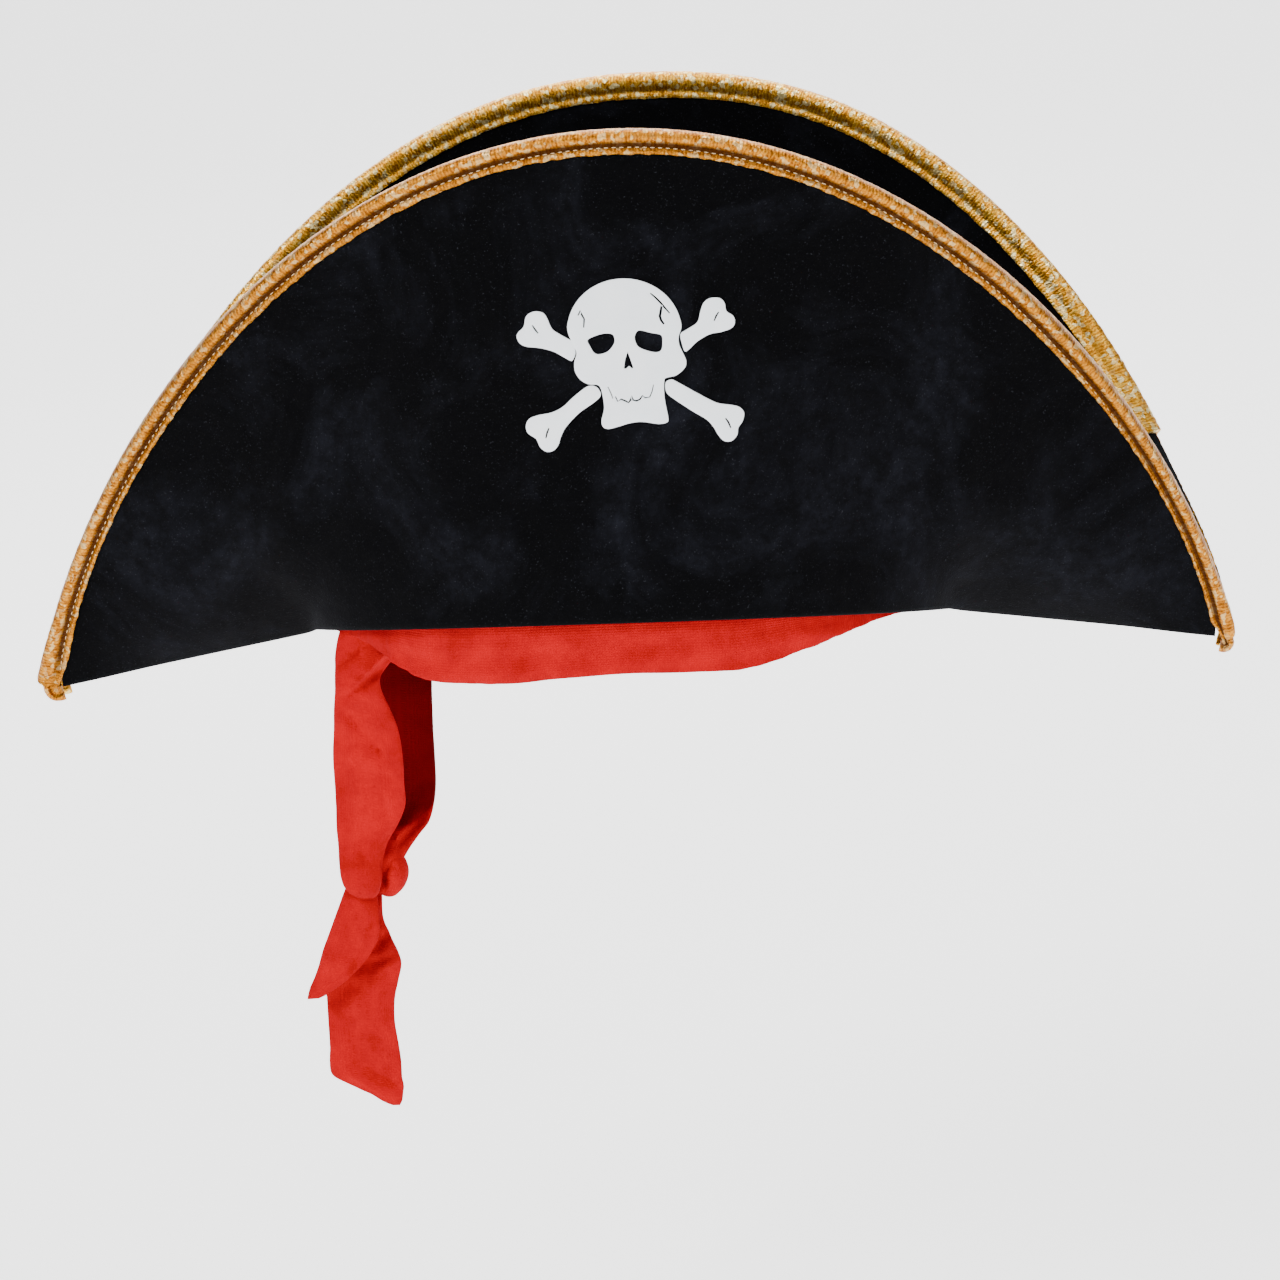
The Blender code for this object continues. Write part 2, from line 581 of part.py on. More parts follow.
def build_hat():
    clear_scene()
    velour = make_material("black_velour", (0.012, 0.012, 0.015), 0.9)
    foam = make_material("grey_foam", (0.2, 0.2, 0.2), 0.95)
    gold = make_material("gold_lame", (0.8, 0.52, 0.16), 0.32, 0.9)
    lining = make_material("black_lining", (0.02, 0.02, 0.022), 0.6)
    white_ink = make_material("white_print", (0.9, 0.92, 0.94), 0.55)
    cloth = make_material("red_sash_cloth", (0.75, 0.012, 0.02), 0.8)

    build_flap("front", FRONT, velour, foam, gold)
    build_flap("back", BACK, velour, foam, gold)
    crown_side("crown_front_panel", math.pi, velour)
    crown_side("crown_back_panel", 0.0, velour)
    crown_top("crown_top_panel", velour)
    crown_lining("crown_lining", lining)
    sweatband("sweatband", lining)
    printed_area("skull_print", skull_outline(), EYES_AND_NOSE, white_ink)
    for name, (start, end) in BONES.items():
        printed_area(name, bone_outline(start, end), (), white_ink)
    build_sash(cloth)


build_hat()
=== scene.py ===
# %% [markdown]
# # A pirate hat, piece by piece
#
# The hat is a child of the bicorne: two stiff flaps stand up in front of and behind a soft crown and
# are sewn together at the wing tips. Each flap is foam between two skins of velour, with a folded strip
# of gold lame round its curved edge. A red jersey sash goes round the head, is tied beside the face and
# leaves two tails hanging. The frame already holds the sizes and the joints, so this lesson only makes
# the surfaces: every cloth is laid over nearly the same curves that the frame was built on.

# %% Load the frame
import math

import bmesh
import bpy
from mathutils import Matrix, Vector, noise


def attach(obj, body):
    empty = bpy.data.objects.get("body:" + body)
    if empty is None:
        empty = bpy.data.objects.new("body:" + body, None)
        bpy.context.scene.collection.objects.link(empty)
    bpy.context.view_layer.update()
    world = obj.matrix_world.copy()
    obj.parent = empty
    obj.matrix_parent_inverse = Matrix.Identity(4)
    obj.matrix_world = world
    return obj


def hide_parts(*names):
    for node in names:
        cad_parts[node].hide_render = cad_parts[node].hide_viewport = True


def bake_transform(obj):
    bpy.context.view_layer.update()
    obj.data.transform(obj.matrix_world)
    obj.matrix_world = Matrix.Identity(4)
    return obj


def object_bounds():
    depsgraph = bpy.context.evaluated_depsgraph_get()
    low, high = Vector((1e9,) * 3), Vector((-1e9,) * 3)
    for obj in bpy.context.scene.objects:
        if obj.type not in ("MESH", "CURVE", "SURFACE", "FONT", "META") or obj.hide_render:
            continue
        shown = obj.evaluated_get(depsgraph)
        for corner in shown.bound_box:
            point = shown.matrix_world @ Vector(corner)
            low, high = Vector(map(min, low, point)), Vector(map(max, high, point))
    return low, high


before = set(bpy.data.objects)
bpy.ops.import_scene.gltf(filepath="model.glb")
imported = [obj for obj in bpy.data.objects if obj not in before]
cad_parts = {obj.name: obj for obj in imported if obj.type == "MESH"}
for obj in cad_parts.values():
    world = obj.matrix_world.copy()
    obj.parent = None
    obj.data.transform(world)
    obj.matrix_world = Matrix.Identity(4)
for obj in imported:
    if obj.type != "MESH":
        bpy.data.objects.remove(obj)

CAD_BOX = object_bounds()
MM = 0.001

# %% [markdown]
# ## Small helpers
#
# Cloth is easiest to build as a flat grid of small squares that is then laid in place, the way a
# tailor lays a cut piece over a form. `lay_cloth` adds Blender's grid primitive and asks a function
# where each point of it belongs. The grid keeps a UV map in metres, so that a weave or a knit can
# follow the cloth wherever it goes.

# %% Helpers
def ease(value, start, end):
    """Smooth step: 0 at start, 1 at end, level at both."""
    t = min(1.0, max(0.0, (value - start) / (end - start)))
    return t * t * (3 - 2 * t)


def bump(value, centre, width):
    """A soft hump, 1 at the centre and almost 0 beyond two widths."""
    return math.exp(-((value - centre) / width) ** 2)


def select_only(piece):
    bpy.ops.object.select_all(action="DESELECT")
    piece.select_set(True)
    bpy.context.view_layer.objects.active = piece


def in_edit_mode(piece, *steps):
    """Run operators on the whole of a piece in edit mode."""
    select_only(piece)
    bpy.ops.object.mode_set(mode="EDIT")
    bpy.ops.mesh.select_all(action="SELECT")
    for step in steps:
        step()
    bpy.ops.object.mode_set(mode="OBJECT")


def merge_and_face_out(piece, distance=0.00001):
    in_edit_mode(piece, lambda: bpy.ops.mesh.remove_doubles(threshold=distance),
                 lambda: bpy.ops.mesh.normals_make_consistent(inside=False))


def lay_cloth(name, columns, rows, place, size):
    """Add a grid of columns by rows squares and lay each point at place(s, t), both from 0 to 1."""
    bpy.ops.object.select_all(action="DESELECT")
    bpy.ops.mesh.primitive_grid_add(x_subdivisions=columns, y_subdivisions=rows, size=2)
    cloth = bpy.context.object
    cloth.name = cloth.data.name = name
    flat = [((v.co.x + 1) / 2, (v.co.y + 1) / 2) for v in cloth.data.vertices]
    weave = cloth.data.uv_layers.active.data
    for loop in cloth.data.loops:
        s, t = flat[loop.vertex_index]
        weave[loop.index].uv = (s * size[0], t * size[1])
    for vertex, (s, t) in zip(cloth.data.vertices, flat):
        vertex.co = place(s, t)
    return cloth


def apply_modifier(piece, kind, **settings):
    select_only(piece)
    modifier = piece.modifiers.new(kind.title(), kind)
    for key, value in settings.items():
        setattr(modifier, key, value)
    bpy.ops.object.modifier_apply(modifier=modifier.name)


def thicken(piece, thickness, offset=0.0):
    apply_modifier(piece, "SOLIDIFY", thickness=thickness, offset=offset, use_even_offset=False)


def smooth(piece, degrees=50):
    select_only(piece)
    bpy.ops.object.shade_smooth_by_angle(angle=math.radians(degrees))


def through(points, x):
    """Height of a smooth curve through (x, y) points, in their own units."""
    if x <= points[0][0]:
        return points[0][1]
    if x >= points[-1][0]:
        return points[-1][1]
    k = max(i for i in range(len(points) - 1) if points[i][0] <= x)
    (x0, y0), (x1, y1) = points[k], points[k + 1]

    def slope(i):
        a, b = points[max(0, i - 1)], points[min(len(points) - 1, i + 1)]
        return (b[1] - a[1]) / (b[0] - a[0])
    h, u = x1 - x0, (x - x0) / (x1 - x0)
    rise = (3 - 2 * u) * u * u
    return y0 + (y1 - y0) * rise + h * u * (1 - u) * (slope(k) * (1 - u) - slope(k + 1) * u)


def wobble(x, y, z, scale, seed=0.0):
    """Soft noise of about -1 to 1 whose lumps are scale metres across."""
    return noise.noise(Vector((x, y, z)) / scale + Vector((seed, seed * 1.7, -seed)))


def crease(x, z, start, end, width, depth):
    """Depth of a fold along a line from start to end, in millimetres, fading out at both ends."""
    a, b, p = Vector(start), Vector(end), Vector((x / MM, z / MM))
    share = (p - a).dot(b - a) / (b - a).length_squared
    away = (p - a - (b - a) * min(1.0, max(0.0, share))).length
    fade = ease(share, -0.15, 0.25) * (1 - ease(share, 0.75, 1.15))
    return depth * MM * fade * math.exp(-(away / width) ** 2)


print("helpers ready")

# %% [markdown]
# ## Camera, floor and light
#
# The hat is seen from a little above and a little to its right, with the camera tipped by a few
# degrees. It hangs where a head would hold it, above a pale sweep of paper, and large soft lights on
# both sides keep the velour readable without a hard shadow. A long lens keeps the shape honest.

# %% Camera
CAMERA_PLACE = Vector((0.1160, -1.6588, 0.3564))
CAMERA_AIM = Vector((0.0028, -0.0060, -0.0259))
CAMERA_ROLL = math.radians(-2.77)
bpy.ops.object.select_all(action="DESELECT")
bpy.ops.object.camera_add(location=CAMERA_PLACE)
camera = bpy.context.object
camera.data.sensor_width = 36
camera.data.lens = 124.3
facing = (CAMERA_AIM - CAMERA_PLACE).to_track_quat("-Z", "Y").to_matrix()
camera.rotation_euler = (facing @ Matrix.Rotation(CAMERA_ROLL, 3, "Z")).to_euler()
bpy.context.scene.camera = camera
print("camera at", [round(c, 3) for c in camera.location])

# %% Floor, backdrop and lights
FLOOR_HEIGHT = CAD_BOX[0][2] - 0.16


def paper_material():
    paper = bpy.data.materials.new("studio_paper")
    paper.use_nodes = True
    shader = paper.node_tree.nodes["Principled BSDF"]
    shader.inputs["Base Color"].default_value = (0.93, 0.93, 0.93, 1)
    shader.inputs["Roughness"].default_value = 0.95
    shader.inputs["Specular IOR Level"].default_value = 0.1
    shader.inputs["Emission Color"].default_value = (1, 1, 1, 1)
    shader.inputs["Emission Strength"].default_value = 1.1
    return paper


def sweep_of_paper():
    """One sheet that lies flat under the hat and curves up behind it."""
    def place(s, t):
        across = (s - 0.5) * 9
        reach, bend = -4 + 8 * min(t, 0.5) / 0.5, max(0.0, t - 0.5) / 0.5
        turned = min(bend, 0.4) / 0.4 * math.pi / 2
        rise = 1.2 * (1 - math.cos(turned)) + max(0.0, bend - 0.4) * 5
        return Vector((across, reach + 1.2 * math.sin(turned), FLOOR_HEIGHT + rise))
    sweep = lay_cloth("studio_sweep", 4, 60, place, (9, 9))
    sweep.data.materials.append(paper_material())
    smooth(sweep)
    return sweep


def soft_light(name, place, aim, size, watts):
    bpy.ops.object.select_all(action="DESELECT")
    bpy.ops.object.light_add(type="AREA", location=place)
    lamp = bpy.context.object
    lamp.name = name
    lamp.data.energy = watts
    lamp.data.shape = "RECTANGLE"
    lamp.data.size, lamp.data.size_y = size
    lamp.rotation_euler = (Vector(aim) - Vector(place)).to_track_quat("-Z", "Y").to_euler()
    return lamp


sweep_of_paper()
soft_light("key_light", (-1.3, -1.6, 1.6), (0, 0, 0), (0.9, 0.9), 62)
soft_light("fill_light", (1.9, -1.5, 0.6), (0, 0, 0), (0.7, 1.3), 24)
soft_light("top_light", (0.2, 0.2, 1.9), (0, 0, 0), (1.2, 0.5), 34)
soft_light("back_light", (-0.6, 2.0, 1.2), (0, 0, 0), (1.4, 0.7), 16)
soft_light("paper_light", (0, 2.6, 2.2), (0, 2.9, FLOOR_HEIGHT), (3.0, 2.4), 110)
world = bpy.data.worlds.new("studio_air")
bpy.context.scene.world = world
world.use_nodes = True
world.node_tree.nodes["Background"].inputs["Color"].default_value = (1, 1, 1, 1)
world.node_tree.nodes["Background"].inputs["Strength"].default_value = 0.42
print("floor at", round(FLOOR_HEIGHT, 3))

# %% [markdown]
# ## Materials
#
# Each finish is a small network on a Principled shader. `Finish` keeps the wiring short: it makes a
# material, and each call adds one layer, such as a noise, a colour ramp or a bump. Patterns that
# belong to the cloth itself, such as a knit, read the UV map; patterns in the pile or the ink, which
# have no direction, read object coordinates.

# %% A helper that wires materials
class Finish:
    """A material and short ways to add its layers."""

    def __init__(self, name, roughness, **sockets):
        self.material = bpy.data.materials.new(name)
        self.material.use_nodes = True
        self.tree = self.material.node_tree
        self.shader = self.tree.nodes["Principled BSDF"]
        self.shader.inputs["Roughness"].default_value = roughness
        for socket, value in sockets.items():
            self.shader.inputs[socket.replace("_", " ")].default_value = value
        self.where = self.tree.nodes.new("ShaderNodeTexCoord")
        self.last_normal = None

    def add(self, kind, values=(), **wires):
        """Add a node: values are set on it, and wires join its inputs (or set them, if not sockets)."""
        node = self.tree.nodes.new("ShaderNode" + kind)
        for key, value in dict(values).items():
            setattr(node, key, value)
        for key, value in wires.items():
            socket = node.inputs[int(key[1:])] if key[0] == "i" and key[1:].isdigit() else node.inputs[key]
            if isinstance(value, bpy.types.NodeSocket):
                self.tree.links.new(value, socket)
            else:
                socket.default_value = value
        return node

    def noise(self, scale, detail=3.0, roughness=0.55, vector=None, distortion=0.0):
        node = self.add("TexNoise", Vector=vector or self.where.outputs["Object"], Scale=scale,
                        Detail=detail, Roughness=roughness, Distortion=distortion)
        return node.outputs["Fac"]

    def ramp(self, value, *stops):
        """Colour ramp from (position, colour) stops."""
        node = self.add("ValToRGB", Fac=value)
        ramp = node.color_ramp
        while len(ramp.elements) < len(stops):
            ramp.elements.new(1.0)
        for element, (position, colour) in zip(ramp.elements, stops):
            element.position = position
            element.color = (*colour, 1) if len(colour) == 3 else colour
        return node.outputs["Color"]

    def grey(self, value, *stops):
        return self.ramp(value, *[(position, (level,) * 3) for position, level in stops])

    def mix(self, share, first, second, blend="MIX"):
        node = self.add("Mix", {"data_type": "RGBA", "blend_type": blend})
        for index, value in ((0, share), (6, first), (7, second)):
            if isinstance(value, bpy.types.NodeSocket):
                self.tree.links.new(value, node.inputs[index])
            elif index:
                node.inputs[index].default_value = (*value, 1)
            else:
                node.inputs[index].default_value = value
        return node.outputs[2]

    def maths(self, operation, first, second=0.0):
        return self.add("Math", {"operation": operation}, i0=first, i1=second).outputs[0]

    def wave(self, axis, pitch, distortion=0.0, detail_scale=1.0, vector=None):
        """Ridges a pitch apart along one axis of the cloth."""
        return self.add("TexWave", {"wave_type": "BANDS", "bands_direction": axis, "wave_profile": "SIN"},
                        Vector=vector or self.where.outputs["UV"], Scale=2 * math.pi / pitch / 20,
                        Distortion=distortion, i4=detail_scale).outputs["Fac"]

    def colour(self, socket):
        self.tree.links.new(socket, self.shader.inputs["Base Color"])

    def rough(self, socket):
        self.tree.links.new(socket, self.shader.inputs["Roughness"])

    def raise_by(self, height, distance, strength=1.0):
        """Add a bump layer on top of the earlier ones."""
        wires = {"Height": height, "Distance": distance, "Strength": strength}
        if self.last_normal is not None:
            wires["Normal"] = self.last_normal
        self.last_normal = self.add("Bump", **wires).outputs["Normal"]
        self.tree.links.new(self.last_normal, self.shader.inputs["Normal"])


print("finish helper ready")

# %% [markdown]
# The velour is a very dark pile. Light brushes off it in faint cloudy patches where the pile lies
# another way, and single fibres catch the light as specks. So the colour is nearly black with two
# scales of cloud, the sheen socket gives the soft glancing glow, and the bump is fine and dense.

# %% Velour
def velour_finish():
    cloth = Finish("black_velour", 0.92, Sheen_Weight=0.022, Sheen_Roughness=0.40, Specular_IOR_Level=0.04)
    cloth.shader.inputs["Sheen Tint"].default_value = (0.72, 0.78, 1.0, 1)
    patches = cloth.noise(15, 6, 0.68, distortion=0.9)
    clouds = cloth.noise(130, 5, 0.8)
    crushed = cloth.maths("MULTIPLY", cloth.grey(patches, (0.47, 0), (0.66, 1)),
                          cloth.grey(clouds, (0.38, 0.1), (0.7, 1)))
    fibres = cloth.noise(1500, 2, 0.5)
    specks = cloth.maths("MULTIPLY", cloth.grey(fibres, (0.64, 0), (0.74, 1)),
                         cloth.grey(clouds, (0.3, 0.15), (0.62, 1)))
    base = cloth.mix(crushed, (0.0009, 0.0009, 0.0012), (0.0078, 0.0085, 0.0122))
    cloth.colour(cloth.mix(specks, base, (0.020, 0.021, 0.026)))
    cloth.rough(cloth.grey(clouds, (0.3, 0.8), (0.7, 0.95)))
    cloth.raise_by(clouds, 0.0007, 0.35)
    cloth.raise_by(fibres, 0.0003, 0.6)
    return cloth.material


VELOUR = velour_finish()
print("material:", VELOUR.name)

# %% [markdown]
# The lame is a shiny woven gold foil cloth, crumpled into tiny pleats where it is folded. Real
# pleats are in the mesh; the finer crackle, the sparkle of single foil threads and the painted shade
# that darkens the gold in the creases are in the material.

# %% Gold lame
def lame_finish(name, deep, middle, bright, sparkle, valley_shade):
    cloth = Finish(name, 0.34, Metallic=0.94, Specular_IOR_Level=0.4)
    pleats = cloth.wave("X", 0.0013, 5.0, 3.0)
    strip = cloth.add("SeparateXYZ", Vector=cloth.where.outputs["UV"])
    share = cloth.maths("DIVIDE", strip.outputs["Y"], BINDING_CLOTH)
    ends = cloth.grey(strip.outputs["X"], (0.010, 0), (0.024, 1), (0.683, 1), (0.697, 0))
    crackle = cloth.add("TexVoronoi", {"feature": "F1"}, Vector=cloth.where.outputs["Object"],
                        Scale=1500.0, Randomness=1.0)
    facets = cloth.add("TexVoronoi", {"feature": "F1"}, Vector=cloth.where.outputs["Object"],
                       Scale=620.0, Randomness=1.0)
    facet_tone = cloth.add("SeparateColor", Color=facets.outputs["Color"])
    tone = cloth.maths("ADD", cloth.maths("MULTIPLY", cloth.noise(420, 5, 0.7), 0.86),
                       cloth.maths("MULTIPLY", pleats, 0.14))
    base = cloth.ramp(tone, (0.34, deep), (0.5, middle), (0.66, bright))
    glints = cloth.grey(facet_tone.outputs[0], (0.70, 0), (0.86, 1))
    base = cloth.mix(cloth.maths("MULTIPLY", glints, sparkle), base, (1.0, 0.86, 0.42))
    # Painted shade: along the two valleys beside the stitch lines, away from the ends of the strip, the gold
    # turns almost black.
    valley_shade_mask = cloth.grey(share, (0.13, 0), (0.18, 1), (0.25, 1), (0.31, 0), (0.69, 0), (0.75, 1), (0.82, 1),
                          (0.87, 0))
    valley_shade_mask = cloth.maths("MULTIPLY", valley_shade_mask, ends)
    cloth.colour(cloth.mix(cloth.maths("MULTIPLY", valley_shade_mask, valley_shade), base, (0.035, 0.007, 0.0006)))
    cloth.rough(cloth.grey(cloth.noise(300, 3), (0.3, 0.30), (0.7, 0.52)))
    cloth.raise_by(pleats, 0.0003, 0.45)
    cloth.raise_by(crackle.outputs["Distance"], 0.0003, 0.4)
    cloth.raise_by(facet_tone.outputs[1], 0.0005, 0.3)
    return cloth.material


BINDING_CLOTH = 0.026            # width of the strip of lame, as cut
# Both strips are the same lame. The back copy is a lit copy: its paler, brighter gold and stronger glints are
# painted light, and its valleys get less painted shade than the front copy's.
FRONT_LAME = lame_finish("gold_lame", (0.17, 0.042, 0.001), (0.44, 0.155, 0.006), (0.62, 0.265, 0.020),
                         sparkle=0.30, valley_shade=0.95)
BACK_LAME_PAINTED_LIGHT = lame_finish("gold_lame_painted_light", (0.30, 0.100, 0.003), (0.64, 0.28, 0.014), (0.92, 0.56, 0.07),
                        sparkle=0.75, valley_shade=0.35)
print("materials:", FRONT_LAME.name, BACK_LAME_PAINTED_LIGHT.name)

# %% [markdown]
# The sash is thin red jersey, a fine knit. Its loops make tiny V shapes in columns, so two waves
# across each other are enough at this size. Dye sits a little deeper in some places. The strand behind
# shows the wrong side of the knit inside the loop of the tied sash, and painted shade makes its red darker
# above a slanting fold.

# %% Red jersey
def jersey_finish(name, deep, bright, painted_shade_colour=None):
    cloth = Finish(name, 0.90, Sheen_Weight=0.06, Sheen_Roughness=0.5, Specular_IOR_Level=0.05)
    cloth.shader.inputs["Sheen Tint"].default_value = (1.0, 0.06, 0.05, 1)
    columns, courses = cloth.wave("X", 0.0009, 0.6, 2.0), cloth.wave("Y", 0.0007, 0.9, 2.0)
    knit = cloth.maths("MULTIPLY", columns, courses)
    base = cloth.ramp(cloth.noise(70, 4, 0.65), (0.35, deep), (0.62, bright))
    base = cloth.mix(cloth.grey(knit, (0.0, 0.22), (0.5, 0.0)), base, tuple(0.45 * level for level in deep))
    base = cloth.mix(cloth.grey(cloth.noise(1300, 2), (0.55, 0), (0.8, 0.4)), base, bright)
    # Painted shade: on the strand behind, the red turns darker above a slanting line along a fold, on the
    # half of its girth that faces the front.
    if painted_shade_colour:
        along = cloth.add("SeparateXYZ", Vector=cloth.where.outputs["UV"])
        around = cloth.maths("DIVIDE", along.outputs["X"], STRAND_CUT[0])
        down = cloth.maths("DIVIDE", along.outputs["Y"], STRAND_CUT[1])
        slant = cloth.maths("ADD", down, cloth.maths("MULTIPLY", around, 0.37))
        above = cloth.grey(cloth.maths("SUBTRACT", slant, 0.625), (0.485, 1), (0.515, 0))
        front = cloth.grey(around, (0.50, 0), (0.53, 1))
        base = cloth.mix(cloth.maths("MULTIPLY", above, front), base, painted_shade_colour)
    cloth.colour(base)
    cloth.raise_by(cloth.noise(110, 4, 0.6), 0.0016, 0.35)
    cloth.raise_by(knit, 0.0004, 0.6)
    return cloth.material


STRAND_CUT = (0.06, 0.12)        # girth and length of the strand behind, as its knit runs
JERSEY = jersey_finish("red_jersey", (0.36, 0.0012, 0.0040), (0.50, 0.0020, 0.0060))
# The second copy carries painted shade, for the strand behind.
JERSEY_PAINTED_SHADE = jersey_finish("red_jersey_painted_shade", (0.36, 0.0012, 0.0040), (0.50, 0.0020, 0.0060),
                              (0.125, 0.0008, 0.0022))
print("materials:", JERSEY.name, JERSEY_PAINTED_SHADE.name)

# %% [markdown]
# Four quieter finishes: the slightly chalky, cool white of the raised print, which lets the weave
# below show through as fine pitting; the black lining, a plain weave with a slight gloss; the grey
# foam inside the flaps, full of small pores; and the waxed tan thread of the stitches.

# %% Print, lining, foam and thread
def print_finish():
    ink = Finish("white_print", 0.55, Specular_IOR_Level=0.35)
    pits = ink.noise(900, 3, 0.6)
    ink.colour(ink.ramp(ink.noise(90, 3), (0.3, (0.86, 0.91, 0.95)), (0.7, (0.92, 0.95, 0.98))))
    ink.rough(ink.grey(pits, (0.3, 0.45), (0.7, 0.7)))
    ink.raise_by(pits, 0.0002, 0.5)
    return ink.material


def lining_finish():
    cloth = Finish("black_lining", 0.5, Specular_IOR_Level=0.4)
    weave = cloth.maths("ADD", cloth.wave("X", 0.0008, 0.3), cloth.wave("Y", 0.0008, 0.3))
    cloth.colour(cloth.ramp(cloth.noise(40, 4), (0.3, (0.007, 0.007, 0.009)), (0.7, (0.018, 0.018, 0.021))))
    cloth.rough(cloth.grey(cloth.noise(160, 3), (0.3, 0.42), (0.7, 0.62)))
    cloth.raise_by(weave, 0.00025, 0.5)
    cloth.raise_by(cloth.noise(70, 3), 0.0015, 0.25)
    return cloth.material


def foam_finish():
    foam = Finish("grey_foam", 0.95)
    pores = foam.add("TexVoronoi", {}, Vector=foam.where.outputs["Object"], Scale=1100.0).outputs["Distance"]
    foam.colour(foam.ramp(pores, (0.1, (0.09, 0.09, 0.09)), (0.6, (0.24, 0.24, 0.24))))
    foam.raise_by(pores, 0.0006, 0.8)
    return foam.material


def thread_finish(name, dark, light):
    thread = Finish(name, 0.6, Specular_IOR_Level=0.4)
    twist = thread.add("TexWave", {"bands_direction": "DIAGONAL"}, Vector=thread.where.outputs["Object"],
                       Scale=900.0).outputs["Fac"]
    thread.colour(thread.ramp(twist, (0.2, dark), (0.8, light)))
    thread.raise_by(twist, 0.0001, 0.6)
    return thread.material


PRINT, LINING, FOAM = print_finish(), lining_finish(), foam_finish()
TAN_THREAD = thread_finish("tan_thread", (0.50, 0.29, 0.11), (0.86, 0.64, 0.36))
BLACK_THREAD = thread_finish("black_thread", (0.010, 0.010, 0.011), (0.035, 0.035, 0.038))
print("materials:", PRINT.name, LINING.name, FOAM.name, TAN_THREAD.name, BLACK_THREAD.name)

# %% [markdown]
# ## The shape of a flap
#
# One rule gives the middle of a flap's thickness: `flap_point(flap, x, v)` runs from the crease at
# the bottom (v = 0) to the curved top edge (v = 1). The frame was built on the same numbers, but for
# the lower edge of the right wing, which is carried a few millimetres higher here.

# %% Flap curves
HALF_WIDTH, PANEL_HALF_WIDTH = 230 * MM, 228.4 * MM
RIM_SADDLE, TIP_HEIGHT = 17 * MM, -36.5 * MM
WING_DROP = {-1: 19.5 * MM, 1: 14 * MM}      # the left wing hangs lower
OPENING_HALF_WIDTH, OPENING_HALF_DEPTH, OPENING_CORNER = 121 * MM, 81.6 * MM, 0.2
SEAM_OFFSET, TIP_OFFSET = 2.4 * MM, 4.8 * MM
FLAP_BULGE, WING_HULL, EDGE_DEPTH_POWER = 4 * MM, 1.5, 0.8
FACE = 1.8 * MM                  # middle of a velour skin, off the middle of the flap


class Flap:
    def __init__(self, name, side, rise, power, roundness, depth, lean, curl):
        self.name, self.side, self.rise, self.power = name, side, (rise - 1.6) * MM, power
        self.roundness, self.depth, self.lean, self.curl = roundness, depth * MM, lean * MM, curl * MM
        self.whole_rise = rise * MM


FRONT = Flap("front", -1, 216.7, 2.04, 1.38, 90, 7.5, 0)
BACK = Flap("back", 1, 218.5, 2.22, 1.34, 85, 10, 12)


def opening_share(x):
    t = 1 - (x / OPENING_HALF_WIDTH) ** 2
    return math.sqrt((t + math.sqrt(t * t + OPENING_CORNER ** 4)) / 2)


def crease_height(x):
    wing = max(0.0, (abs(x) - OPENING_HALF_WIDTH) / (HALF_WIDTH - OPENING_HALF_WIDTH))
    drop = WING_DROP[-1 if x < 0 else 1]
    return -RIM_SADDLE * (1 - min(1.0, opening_share(x))) - drop * wing


def averaged_share(x, reach):
    return sum(opening_share(x + reach * n / 6) for n in range(-6, 7)) / 13


SOFT_STEP, SOFTEST, SOFT_BY = 6 * MM, 6, 0.38
SHARES = [[averaged_share(n * MM, level * SOFT_STEP) for n in range(260)] for level in range(SOFTEST + 1)]


def soft_share(x, v):
    """The opening's outline, whose corners the stiff flap rounds off more and more above the rim."""
    level = min(SOFTEST - 0.001, SOFTEST * ease(v, 0, SOFT_BY))
    place = min(258.999, abs(x) / MM)
    k, n = int(level), int(place)
    low = SHARES[k][n] + (SHARES[k][n + 1] - SHARES[k][n]) * (place - n)
    high = SHARES[k + 1][n] + (SHARES[k + 1][n + 1] - SHARES[k + 1][n]) * (place - n)
    return low + (high - low) * (level - k)


def crease_depth(x, v):
    tip = ease(abs(x), 0.8 * HALF_WIDTH, 0.95 * HALF_WIDTH)
    return SEAM_OFFSET + (TIP_OFFSET - SEAM_OFFSET) * tip + OPENING_HALF_DEPTH * soft_share(x, v)


def edge_height(flap, x):
    ratio = min(1.0, abs(x) / PANEL_HALF_WIDTH)
    return TIP_HEIGHT + flap.rise * (1 - ratio ** flap.power) ** (1 / flap.roundness)


def flap_depth(flap, x, v):
    """Distance from the middle plane, and how far the edge has rolled back."""
    ratio = min(1.0, abs(x) / PANEL_HALF_WIDTH)
    at_edge = TIP_OFFSET + (flap.depth - TIP_OFFSET) * (1 - ratio ** 2) ** EDGE_DEPTH_POWER
    hull = WING_HULL * ease(abs(x), 0.080, 0.130) * (1 - ease(abs(x), 0.180, 0.222))
    at_crease = crease_depth(x, min(1.0, v))
    depth = at_crease + (at_edge - at_crease) * (v + hull * v * (1 - v) ** 2)
    depth += FLAP_BULGE * (1 - (x / HALF_WIDTH) ** 2) * 4 * v * (1 - v)
    curl = flap.curl * ease(x, 0.155, 0.205) * (1 - ease(x, 0.206, 0.229))
    return depth, curl * max(0.0, (v - 0.45) / 0.55) ** 2


def on_the_flap(flap, x, v, z):
    depth, rolled = flap_depth(flap, x, v)
    lean = flap.lean * (z - TIP_HEIGHT) / flap.whole_rise
    return Vector((x + lean, flap.side * (depth + rolled), z - rolled / 2))


def flap_point_flat(flap, x, z):
    """Middle of the flap above the flat place (x, z), also a little past its edges."""
    low, high = crease_height(x), edge_height(flap, x)
    v = min(1.04, max(0.0, (z - low) / max(high - low, 2 * MM)))
    return on_the_flap(flap, x, v, z)


def flap_point(flap, x, v):
    low, high = crease_height(x), edge_height(flap, x)
    return on_the_flap(flap, x, v, low + (high - low) * v)


def outward(flap, along, up):
    normal = along.cross(up).normalized()
    return normal if normal.y * flap.side > 0 else -normal


